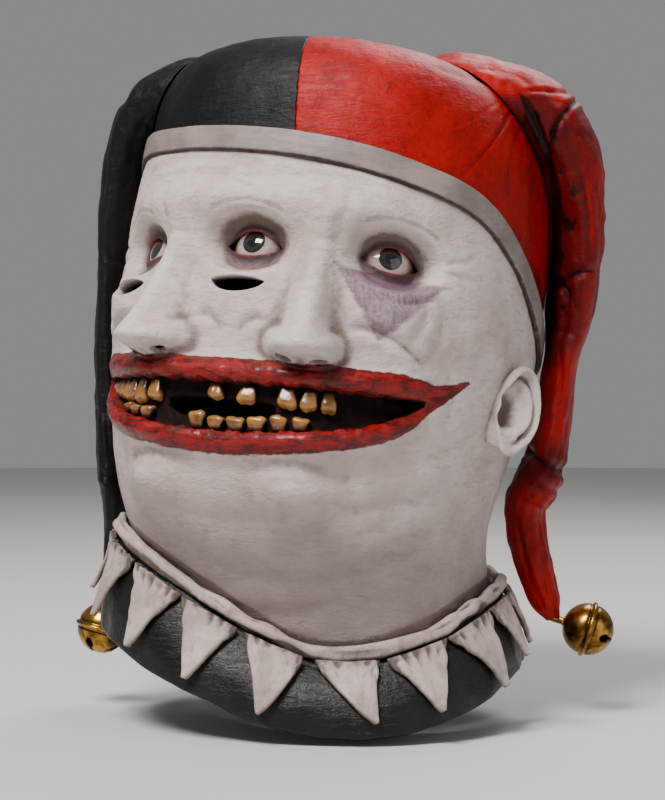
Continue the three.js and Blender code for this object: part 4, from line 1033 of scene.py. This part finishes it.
# The band's edges darken where they turn into the joints: partly grime, partly painted shade.
wear_and_painted_light = calc(tree, "MULTIPLY_ADD", noise(tree, 300), 0.5, edge)
colour = blend(tree, step(tree, wear_and_painted_light, 0.95, 1.3), colour, (60, 48, 45))
feed(tree, shader.inputs["Base Color"], colour)
feed(tree, shader.inputs["Roughness"], calc(tree, "MULTIPLY_ADD", brushed, 0.25, 0.42))
bump(tree, shader, (brushed, 0.4, 0.6), (noise(tree, 700, 3), 0.15, 0.5))
band = new_piece("band", points, grid_faces(len(around_head), len(section), closed=True), band_material)
store(band, edge=np.broadcast_to(ramp(np.abs(up) / band_high, 0.40, 0.50), radius.shape))
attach(band, "root")
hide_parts("cap_band")

# Cap
# A dome of thin latex in two halves, black and red, that meet in a seam over the crown. Pulling folds run up to
# the root of the red tail.
cap_proud = 2.4
crown_flat = 12
cap_squareness = 3.2


def picture(points):
    """Where a point shows in the view, in pixels, and how far it is towards the camera."""
    toward = points @ outward(view_turn)
    shrink = image_wide * lens_long / sensor_wide / (view_distance * 1000 - toward)
    right = image_wide / 2 + points @ sideways(view_turn) * shrink
    return right, image_high / 2 - (points[..., 2] - view_height * 1000) * shrink, toward


def cap_point(turn, tilt, depth):
    """The cap's dome: a superellipse from the band's line over the crown, swollen a little above the band."""
    top = crown_z + cap_proud - crown_flat - depth
    rim = band_z(turn) + rim_joint / 2
    s = np.sin(tilt * degrees) ** (2 / cap_squareness)
    c = np.abs(np.cos(tilt * degrees)) ** (2 / cap_squareness)
    z = rim + (top - rim) * c
    swell = cap_proud * np.sin(2 * tilt * degrees) * ramp(z - band_z(turn), 5, 14)
    radius = (bare_radius(turn, rim) + swell - depth) * s
    point = radius[..., None] * outward(turn)
    point[..., 2] = z
    return point


# Folds of the cap, in pixels of the view.
cap_folds = table(crease_columns,
    (456, 178, 520, 88, 9, 0.9, 1.7), (440, 132, 502, 98, 4, 0.35, 1.8), (425, 62, 512, 84, 5, 0.4, 2.6),
    (508, 196, 527, 116, -4, 0.4, 2.8), (150, 74, 134, 136, 5, 0.6, 2.6), (196, 54, 160, 110, -6, 0.4, 2.6),
    (122, 108, 116, 160, 3, 0.5, 2.4))


def cap_dome(turns, tilts, depth, fine):
    """Rings of the cap's dome; fine adds its folds and hand-worked lumps along the way out."""
    turn, tilt = np.meshgrid(turns, tilts)
    point = cap_point(turn, tilt, depth)
    leaned = lean(point)
    if fine:
        px, py, toward = picture(leaned)
        pull = creases(px, py, cap_folds) * ramp(toward, -20, 20)
        pull = pull + 0.55 * lumps(point, 24, 61, 3) + 0.3 * lumps(point * [1, 1, 0.35], 7, 66, 2)
        pull = pull * ramp(point[..., 2] - band_z(turn), 5, 12)
        way = lean(point + outward(turn) * np.sin(tilt * degrees)[..., None]
                   + upward * np.cos(tilt * degrees)[..., None]) - leaned
        leaned = leaned + pull[..., None] * way
    return leaned


cap_turns = np.linspace(-180, 180, 540, endpoint=False)
cap_tilts = np.concatenate([[0.05, 0.3, 0.8], np.linspace(1.6, 88, 124), [89, 90]])
outside = cap_dome(cap_turns, cap_tilts, 0, True)
lining = cap_dome(cap_turns, np.linspace(90, 0.3, 30), wall, False)
dome_points, dome_faces = loft(np.concatenate([outside, lining]))
unseen = np.zeros(lining[..., 0].size + 2)
cap_height = np.linalg.norm(outside - lean(-90 * upward), axis=-1)
# The folds take a dark wash and painted shade.
cap_wash = np.append(0.7 * dents(cap_height, 6, 0.7), unseen)
# The line in the view where the red tail comes out from behind the cap.
front_edge = ((60, 89, 145, 189, 257, 327, 440), (500, 518, 543, 556, 557, 553, 540))
px, py, toward = picture(outside)
cap_shade = np.append(0.9 * ramp(px - np.interp(py, *front_edge), -16, 2) * (toward > 0), unseen)


def latex_paint(name, light, mid, deep, dark, rough, wear_and_painted_light, gloss):
    """Painted, wrinkled latex: brushed colour, deep where shade is painted, a dark wash and painted shade in the
    folds, wrinkle ridges painted lighter as wear and as highlights, leathery bump."""
    material, tree, shader = new_material(name)
    wash = painted(tree, "wash")
    cloud = noise(tree, 28, 5, 0.6)
    brushed = noise(tree, 75, 6, 0.68, stretch=(1.6, 1.6, 0.8), warp=0.8)
    grain = noise(tree, 330, 4, 0.65)
    crackle = cells(tree, 210, stretch=(1, 1, 0.6))
    wrinkle = noise(tree, 150, 5, 0.7, stretch=(0.6, 0.6, 2.4), warp=1.2)
    colour = blend(tree, step(tree, cloud, 0.34, 0.7), light, mid)
    colour = tint(tree, colour, step(tree, brushed, 0.5, 0.74), 0.7, deep)
    shaded = calc(tree, "MULTIPLY_ADD", cloud, 0.5, painted(tree, "shade"))
    colour = blend(tree, step(tree, shaded, 0.5, 1.1), colour, deep)
    # Random grime, with the wash and painted shade of the folds, darkens the paint.
    grime_and_shade = calc(tree, "MULTIPLY_ADD", grain, 0.55, calc(tree, "MULTIPLY", wash, 1.3))
    colour = tint(tree, colour, step(tree, grime_and_shade, 0.5, 1.3), 0.92, dark)
    colour = tint(tree, colour, step(tree, crackle, 0.05, 0.0), 0.25, dark)
    # Wrinkle ridges painted lighter: partly worn paint, partly painted highlight.
    colour = tint(tree, colour, step(tree, calc(tree, "SUBTRACT", wrinkle, wash), 0.6, 0.78), wear_and_painted_light, light)
    feed(tree, shader.inputs["Base Color"], colour)
    feed(tree, shader.inputs["Roughness"], calc(tree, "MULTIPLY_ADD", brushed, 0.3, rough - 0.15))
    shader.inputs["Specular IOR Level"].default_value = gloss
    bump(tree, shader, (wrinkle, 0.9, 0.55), (brushed, 0.6, 0.5), (crackle, 0.25, 0.4), (grain, 0.3, 0.55))
    return material


colours = {
    "black": latex_paint("black_latex", (20, 18, 18), (11, 10, 10), (7, 6, 6), (3, 2, 2), 0.46, 0.25, 0.2),
    "red": latex_paint("red_latex", (164, 7, 6), (134, 5, 5), (88, 4, 4), (22, 3, 3), 0.44, 0.25, 0.17),
}
# Each half is the dome's part within a block on its own side of the seam.
seam_half_gap = 0.15
corners = ((seam_half_gap, -260), (300, -260), (300, 260), (seam_half_gap, 260))
for name, hand in (("black", -1), ("red", 1)):
    half = new_piece("cap_half_" + name, dome_points, dome_faces, colours[name])
    store(half, wash=cap_wash, shade=cap_shade)
    block = [[aside * hand * sideways(cap_turn) - ahead * outward(cap_turn) + level * upward
              for aside, ahead in corners] for level in (-300, 100)]
    carve(half, cutter(np.array(block)), "INTERSECT")
    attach(half, "root")
    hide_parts("cap_" + name)

# Yoke
# The foot of the mask, a glossy black latex skirt that lies on the shoulders and chest, with soft folds and an
# uneven hem.
yoke_high = 40
yoke_flare = 19
yoke_wall = 3
yoke_routes = table("turn drop flare",
    (-180, 0.95, 0.90), (-120, 1.10, 0.80), (-80, 1.18, 0.62), (-40, 1.12, 0.85), (0, 0.92, 1.0),
    (45, 0.90, 1.0), (90, 0.92, 0.80), (130, 0.92, 0.85), (180, 0.95, 0.90))
neck_turns = np.concatenate([-69 + 4.6 * np.arange(30), 69 + 18.5 * np.arange(12)])


def neck_end(turn):
    """The skin's lower edge."""
    return lean(skin(wrap(turn), neck_z(turn), fine=False))


neck_centre = neck_end(neck_turns).mean(0)


def away_from_neck(turn):
    """Level unit arrow from the neck's middle to its edge."""
    way = (neck_end(turn) - neck_centre) * np.array([1, 1, 0])
    return way / np.linalg.norm(way, axis=-1, keepdims=True)


def yoke_point(turn, share, lift):
    """A point of the yoke's outer face at a share of the way to its hem, lifted off the face."""
    turn, share, lift = (np.asarray(value, float) for value in np.broadcast_arrays(turn, share, lift))
    body_turn = wrap(turn - cap_turn)
    drop = read(yoke_routes, "drop", body_turn) * yoke_high
    flare = read(yoke_routes, "flare", body_turn) * yoke_flare
    long = np.hypot(flare, drop)
    reach = 3.5 + flare * (share + 0.28 * np.sin(np.pi * np.maximum(share, 0)))
    point = neck_end(turn) + (reach + drop / long * lift)[..., None] * away_from_neck(turn)
    point[..., 2] += -2.6 - drop * share + flare / long * lift
    return point


# Each row runs down the outer face, round the hem and up the lining.
yoke_shares = np.concatenate([np.linspace(0, 1, 34), [1.0, 1.0], np.linspace(1, 0, 12)])
yoke_lifts = np.concatenate([np.zeros(34), [-0.8, -2.2], np.full(12, -yoke_wall)])
yoke_turns = np.linspace(-180, 180, 420, endpoint=False)
turn_grid, share_grid = np.meshgrid(yoke_turns, yoke_shares, indexing="ij")
once_round = turn_grid * degrees
folds = (1.5 * np.sin(once_round * 11 + 3 * np.sin(once_round * 3)) * share_grid ** 1.5
         + 0.8 * np.sin(once_round * 27 + 2 * np.sin(once_round * 7)) * share_grid)
base = yoke_point(turn_grid, share_grid, 0)
worked = 1.2 * lumps(base, 16, 81, 3) * share_grid
lifts = yoke_lifts[None, :] + (folds * 0.55 + worked) * ramp(share_grid, 0.15, 0.9)
yoke_points = yoke_point(turn_grid, share_grid, lifts)
yoke_points[..., 2] += 1.3 * lumps(base * [1, 1, 0.01], 13, 83) * ramp(share_grid, 0.75, 1)
# The folds take a dark wash and painted shade.
yoke_wash = dents(lifts, 5, 0.4) * (share_grid < 1)
yoke_material = latex_paint("yoke_latex", (27, 24, 22), (13, 11, 10), (7, 6, 5), (3, 2, 2), 0.36, 0.3, 0.34)
yoke_faces = grid_faces(len(yoke_turns), len(yoke_shares), closed=True)
yoke = new_piece("yoke_skirt", yoke_points, yoke_faces, yoke_material)
store(yoke, wash=yoke_wash, shade=0 * yoke_wash)
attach(yoke, "root")
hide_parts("yoke")

# Collar
# A twisted white rim round the neck's end, and eighteen leaf-like points that lie on the yoke and curl at their
# tips, cast in latex, brushed off-white and stained along the edges.
collar_material, tree, shader = new_material("collar_latex", 0.55)
wash = painted(tree, "wash")
brushed = noise(tree, 110, 5, 0.68, stretch=(1.4, 1.4, 0.8), warp=0.8)
grain = noise(tree, 360, 4, 0.65)
colour = blend(tree, step(tree, noise(tree, 45, 4), 0.35, 0.7), (184, 169, 162), (156, 140, 133))
colour = tint(tree, colour, step(tree, brushed, 0.48, 0.72), 0.5, (104, 87, 80))
grime_and_shade = calc(tree, "MULTIPLY_ADD", grain, 0.6, calc(tree, "MULTIPLY", wash, 1.2))
colour = tint(tree, colour, step(tree, grime_and_shade, 0.55, 1.35), 0.88, (66, 50, 45))
feed(tree, shader.inputs["Base Color"], colour)
feed(tree, shader.inputs["Roughness"], calc(tree, "MULTIPLY_ADD", brushed, 0.25, 0.42))
bump(tree, shader, (brushed, 0.7, 0.6), (grain, 0.3, 0.6))

collar_thick = 8
collar_up = 1.2
collar_room = 1.7
collar_radius = 3.15
rim_turns = np.linspace(-180, 180, 620, endpoint=False)
rim_angle = circle(26)
turn_grid, angle_grid = np.meshgrid(rim_turns, rim_angle, indexing="ij")
once_round = turn_grid * degrees
twist = once_round * 16 + 2.2 * np.sin(once_round * 5)
roll = (collar_radius + 0.4 * np.cos(2 * (angle_grid + 0.5 * twist)) + 0.3 * np.cos(3 * angle_grid - twist * 0.4)
        + 0.6 * np.sin(once_round * 21 + 2.3 * np.sin(once_round * 5)) * np.sin(angle_grid + 0.6))
out = collar_room + collar_thick / 2 + roll * np.cos(angle_grid)
# The rim's lower half hangs down far enough to lie on the yoke.
hang = np.where(np.sin(angle_grid) < 0, 1.4, 1.05)
rise = (collar_up + 0.5 * np.sin(once_round * 13 + 2 * np.sin(once_round * 4))
        + roll * np.sin(angle_grid) * hang)
away = away_from_neck(turn_grid)
rim_points = neck_end(turn_grid) + out[..., None] * away + rise[..., None] * upward
rim_points = rim_points + 1.6 * lumps(rim_points, 8, 91, 3)[..., None] * (away + 0.3 * upward)
# A dark wash in the rim's twists, and painted shade on its lower half.
rim_wash = dents(roll, 4, 0.3) + 0.9 * ramp(-np.sin(angle_grid), -0.1, 0.9)
rim_faces = grid_faces(len(rim_turns), len(rim_angle), closed=True)
rim = new_piece("collar_rim", rim_points, rim_faces, collar_material)
store(rim, wash=rim_wash)
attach(rim, "root")
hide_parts("collar_band")

point_count = 18
point_root = 30
point_long = 33
point_thick = 3
point_form = table("at wide lift",
    (0.0, 1.1, 2.4), (0.1, 1.0, 1.6), (0.25, 0.78, 0.9), (0.45, 0.54, 0.8), (0.65, 0.36, 1.2),
    (0.85, 0.19, 2.0), (0.95, 0.10, 2.8), (1.0, 0.04, 3.3))
walk = np.arange(361) + cap_turn
stations = neck_end(walk.astype(float))
lengths = np.concatenate([[0], np.cumsum(np.linalg.norm(np.diff(stations, axis=0), axis=1))])
# Each point's own length, slant, curl and bow are drawn at random from these spans.
vary = np.random.default_rng(12)
spans = ((0.86, 1.1), (-5.5, 5.5), (-0.8, 3.2), (-1, 1))
across_under = np.sin(np.linspace(-np.pi / 2, np.pi / 2, 17))
across_loop = np.append(across_under, across_under[-2:0:-1])
upper_side = np.append(np.zeros(17), np.ones(15))
at = np.linspace(0, 1, 30)[:, None]
for number in range(point_count):
    middle_turn = np.interp((number + 0.5) / point_count * lengths[-1], lengths, walk)
    near = np.array([middle_turn + 1, middle_turn - 1])
    per_degree = np.linalg.norm(np.diff(yoke_point(near, 0.2, 0), axis=0)) / 2
    far = np.linalg.norm(yoke_point(middle_turn, 1, 0) - yoke_point(middle_turn, 0, 0))
    longer, slant, curl, bow = (vary.uniform(*span) for span in spans)
    half = point_root / 2 * read(point_form, "wide", at)
    offset = slant * at ** 1.6 + bow * np.sin(at * np.pi)
    across = across_loop[None, :] * half + offset
    edge = np.abs(across_loop)[None, :]
    lift = 1.0 + read(point_form, "lift", at) + curl * at ** 2.2 + (1.5 * edge ** 2 - 0.8) * np.sin(np.pi * at)
    share = 0.07 + at * point_long * 1.06 * longer / far * np.ones_like(across)
    thick = point_thick * 0.8 * np.sqrt(np.clip(1 - edge ** 4, 0, 1)) + 0.5
    gather = 0.9 * np.sin(across * 1.15 + number * 2) * (1 - ramp(at, 0.05, 0.5))
    on_point = np.stack([across, at * point_long + 0 * across, np.full_like(across, number * 9.0)], -1)
    ripple = gather + 0.6 * lumps(on_point, 6, 95)
    rings = yoke_point(middle_turn + across / per_degree, share, lift + upper_side * thick + ripple)
    flap = new_piece("point_%02d" % (number + 1), *loft(rings), collar_material)
    # Stains along the edges, painted shade at the root under the rim, and wash and painted shade in the ripples'
    # dips.
    flap_wash = 0.55 * ramp(edge, 0.8, 1.0) + 0.5 * ramp(0.16 - at, 0, 0.16) + 0.6 * ramp(-ripple, 0.1, 0.9)
    store(flap, wash=np.append(flap_wash, [0.5, 0.6]))
    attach(flap, "root")
    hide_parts("collar_point_%02d" % (number + 1))

# Tails
# Two long folded horns of foam-filled latex, sculpted with drag folds, pits and a kink, glued to the cap. Each
# follows a path of named sections and is trimmed where the head, cap, ear and collar press into it.
tail_rows = {
    "red": table("x y z wide thick",
        (40, 18, -30, 66, 30), (58, 26, -22, 84, 38), (80, 37, -28, 88, 44), (101, 49, -40, 84, 46),
        (113, 57, -60, 74, 39), (117, 61, -88, 66, 32), (117, 63, -118, 60, 28), (115, 62, -146, 50, 22),
        (111, 57, -172, 44, 18), (109, 52, -198, 42, 19), (107, 46, -220, 46, 22), (103, 40, -236, 46, 26),
        (98, 37, -247, 34, 23), (99, 37, -262, 28, 21), (103, 39, -281, 26, 20), (108, 41, -298, 19, 16),
        (112, 43, -308, 10, 8)),
    "black": table("x y z wide thick",
        (-42, -7, -30, 62, 30), (-60, -10, -20, 80, 36), (-84, -13, -24, 80, 42), (-103, -16, -38, 74, 38),
        (-114, -18, -61, 64, 30), (-119, -20, -93, 56, 24), (-122, -21, -127, 50, 20),
        (-124, -22, -160, 46, 19), (-123, -24, -196, 42, 19), (-121, -26, -228, 38, 19),
        (-118, -27, -252, 32, 18), (-118, -28, -274, 26, 16), (-120, -29, -290, 17, 13),
        (-122, -30, -299, 9, 8)),
}
# Folds of the tails, in pixels of the view.
tail_folds = {
    "red": table(crease_columns,
        (517, 88, 548, 155, -4, 2.6, 2.6), (582, 96, 547, 155, 7, 2.8, 2.8), (522, 92, 576, 97, -4, 1.2, 2.2),
        (553, 160, 557, 262, 5, 1.6, 3.0), (548, 300, 598, 270, -9, 2.6, 4.6),
        (542, 276, 572, 296, -4, 2.4, 3.6), (550, 330, 584, 338, -2, 0.9, 3.4),
        (560, 344, 556, 432, -3, 1.2, 3.0), (512, 434, 584, 476, 9, 3.2, 4.4),
        (528, 476, 572, 492, 5, 1.4, 3.6), (506, 500, 530, 590, -4, 0.8, 2.8),
        (540, 520, 548, 600, 3, 0.6, 2.4), (582, 170, 590, 250, -3, 0.9, 3.0)),
    "black": table(crease_columns,
        (150, 62, 120, 110, 4, 1.8, 3.0), (112, 128, 104, 220, 3, 1.4, 3.0), (98, 250, 122, 262, 2, 1.0, 3.4),
        (104, 330, 110, 460, 2, 1.1, 2.8), (100, 470, 126, 486, 3, 1.8, 3.2),
        (106, 520, 114, 580, 2, 0.8, 2.6)),
}


def unit(arrows):
    """Arrows brought to length 1."""
    return arrows / np.linalg.norm(arrows, axis=-1, keepdims=True)


def tail(rows, folds):
    """Rings of a tail, its wash and its shade. The rings are flattened ovals along its path, pushed in by its
    folds, by long drag lines, lumps and pits."""
    last = len(rows["x"]) - 1
    rows = dict(i=np.arange(last + 1.0), **rows)
    i = np.linspace(0, last, 300)
    path = np.stack([read(rows, name, i) for name in ("x", "y", "z")], -1)
    across = unit(np.stack([-path[:, 1], path[:, 0], 0 * i], -1))
    thick = np.cross(across, unit(np.gradient(path, axis=0)))
    angle = circle(140)
    wide = read(rows, "wide", i)[:, None, None] / 2
    deep = read(rows, "thick", i)[:, None, None] / 2
    ring = (wide * np.cos(angle)[None, :, None] * across[:, None, :]
            + deep * np.sin(angle)[None, :, None] * thick[:, None, :])
    rings = path[:, None, :] + ring
    away = unit(ring)
    px, py, toward = picture(rings)
    facing = ramp(away @ outward(view_turn), -0.25, 0.2)
    red_side = px > image_wide / 2
    size = np.minimum(deep[..., 0], 12) / 12
    push = creases(px, py, folds) * facing
    drag = np.sin(angle[None, :] * 4 + i[:, None] * 0.35 + 2 * np.sin(i[:, None] * 0.6)) ** 3
    pits = lumps(rings * [1, 1, 0.6], 4.2, 105, 2)
    edge = px - np.interp(py, *front_edge)
    beside_cap = 3.0 * hill(py - 305, 42) * (1 - ramp(edge, 2, 16)) * red_side
    worked = 0.8 * drag + 1.6 * lumps(rings, 15, 101, 3) + 0.8 * np.minimum(pits, 0.2)
    push = push + beside_cap + size * worked
    push = push * ramp(last - i[:, None], -0.2, 0.9)
    # A strip of painted shade and a dark line of painted shade lie along the edge of the cap, and the pits
    # beside it are painted darker; the folds take a dark wash and painted shade.
    strip = ramp(py, 90, 110) * (1 - ramp(py, 290, 390)) * facing * red_side
    wash = 0.8 * dents(push, 10, 1.1, least=0.15) + strip * hill(edge - 1, 5)
    wash = wash + 0.7 * strip * (1 - ramp(edge, 18, 30)) * ramp(-pits, 0.12, 0.45)
    shade = strip * (1 - ramp(edge, 12, 36)) + 0.3 * strip + 0.3
    shade = shade + 0.5 * hill(py - 470, 30) + 0.25 * lumps(rings, 22, 111, 3)
    return rings + push[..., None] * away, wash, shade


def grown(rings, amount):
    """Rings widened from their own middles."""
    middle = rings.mean(1, keepdims=True)
    from_middle = rings - middle
    return rings + amount * from_middle / np.maximum(np.linalg.norm(from_middle, axis=-1, keepdims=True), 1e-6)


# The room that cap, head, collar and yoke take up, which is cut out of each tail, and on the right the ear's.
room_turns = np.linspace(-180, 180, 150, endpoint=False)
turn_grid, share_grid = np.meshgrid(room_turns, np.linspace(0, 1, 60))
top = band_z(turn_grid)
head_room = skin(turn_grid, top + (neck_z(turn_grid) - top) * share_grid, fine=False)
head_room = lean(head_room + 1.0 * outward(turn_grid))
cap_room = cap_dome(room_turns, np.linspace(0.5, 90, 50), -1.0, False)
collar_ring = neck_end(room_turns) + (collar_thick + collar_room + 0.6) * away_from_neck(room_turns)
rim_room = np.stack([collar_ring + level * upward for level in (-6.0, 9.0)])
under_tail = np.stack([yoke_point(room_turns, share, -6 if share < 0 else 7.6) for share in (-0.5, 0, 0.45, 1)])
rooms = {"red": [cap_room, head_room, rim_room, under_tail]}
rooms["black"] = rooms["red"] + [grown(ear(*ears["ear_right"])[0][:, ::3], 1.2)]
for name in ("red", "black"):
    rings, tail_wash, tail_shade = tail(tail_rows[name], tail_folds[name])
    horn = new_piece("horn_" + name, *loft(rings), colours[name])
    store(horn, wash=np.append(tail_wash, [0, 0.5]), shade=np.append(tail_shade, [0, 0.5]))
    for room in rooms[name]:
        carve(horn, cutter(room))
    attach(horn, "root")
    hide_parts("tail_" + name)

# Bells
# Hollow jingle bells pressed from brass in two halves: a rolled girdle joins them, crossed slots that end in
# round holes open the far half, a pellet lies loose inside, and a shank is sewn through the tail's tip.
bell_diameter = 28
bell_wall = 1.2
shank_in = 4.5
slot_reach, slot_wide, slot_hole = 0.72, 2.0, 2.4
pellet_diameter, pellet_radius = 8, 3.9
brass_material, tree, shader = new_material("bell_brass", 0.24)
tarnish = noise(tree, 130, 5, 0.65, warp=0.6)
scuff = noise(tree, 700, 3, 0.6, stretch=(1, 1, 3))
colour = blend(tree, step(tree, tarnish, 0.36, 0.66), (188, 142, 64), (88, 58, 26))
colour = tint(tree, colour, painted(tree, "wash"), 0.85, (48, 30, 14))
feed(tree, shader.inputs["Base Color"], colour)
shader.inputs["Metallic"].default_value = 1.0
feed(tree, shader.inputs["Roughness"], calc(tree, "MULTIPLY_ADD", tarnish, 0.3, 0.1))
bump(tree, shader, (tarnish, 0.15, 0.4), (scuff, 0.05, 0.35))
# Each bell has its tail, its middle, and how far its shank is shortened.
bells = (("red", (129.5, 49.5, -314), 3.2), ("black", (-126, -33, -317), 0.5))
around = circle(72)[:, None]
hole = around[::3]
radius = bell_diameter / 2
tilt = np.linspace(0.16, np.pi - 0.02, 90)
tilt_in = tilt[::-3]
from_girdle = np.abs(np.cos(tilt) * radius)
ball_out = radius + 1.3 * hill(from_girdle, 1.05, 4) - 0.35 * hill(from_girdle - 1.9, 0.5)
for side, centre, seat in bells:
    name = side + "_side"
    centre = np.array(centre, float)
    away = centre - [tail_rows[side][axis][-1] for axis in "xyz"]
    reach = np.linalg.norm(away)
    away = away / reach
    beside = unit(np.cross(away, [0, 1, 0]))
    third = np.cross(away, beside)
    shank = reach - radius + 1.5 - seat + shank_in
    radii = np.concatenate([[2.1, 2.2, 2.2, 2.6], ball_out * np.sin(tilt),
                            (radius - bell_wall) * np.sin(tilt_in)])
    heights = np.concatenate([[-radius - shank + 1.5, -radius - shank + 1.9, -radius - 0.6, -radius + 0.1],
                              -ball_out * np.cos(tilt), -(radius - bell_wall) * np.cos(tilt_in)])
    ring = np.cos(around) * beside + np.sin(around) * third
    rings = centre + radii[:, None, None] * ring + heights[:, None, None] * away
    bell = new_piece("bell_shell_" + name, *loft(rings), brass_material)
    for first, second in ((beside, third), (third, -beside)):
        ends = [end * radius * slot_reach * first for end in (-1, 1)]
        half = slot_wide / 2 * second
        slot = centre + np.array([ends[0] - half, ends[1] - half, ends[1] + half, ends[0] + half])
        carve(bell, cutter(np.stack([slot + h * away for h in (radius * 0.52, radius * 1.4)])))
        for end in ends:
            rim = centre + end + slot_hole * (np.cos(hole) * first + np.sin(hole) * second)
            carve(bell, cutter(np.stack([rim + h * away for h in (radius * 0.3, radius * 1.3)])))
    # Dark patina in the girdle's groove, and painted shade over the inside of the bell.
    points = mesh_points(bell) - centre
    lining_share = ramp(radius - 0.5 - np.linalg.norm(points, axis=1), 0, 0.6)
    store(bell, wash=hill(np.abs(points @ away) - 2.3, 0.7) + lining_share)
    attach(bell, "root")
    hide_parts("bell_" + name)
    rest = centre - ((bell_diameter - pellet_diameter) / 2 - bell_wall - 1) * upward
    lie = np.linspace(0.1, np.pi - 0.1, 17)[:, None, None]
    level_ring = np.cos(hole) * [1, 0, 0] + np.sin(hole) * [0, 1, 0]
    ball = rest + pellet_radius * (np.sin(lie) * level_ring + np.cos(lie) * upward)
    pellet = new_piece("pellet_ball_" + name, *loft(ball), brass_material)
    store(pellet, wash=np.full(len(pellet.data.vertices), 0.4))
    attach(pellet, "root")
    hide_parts("pellet_" + name)
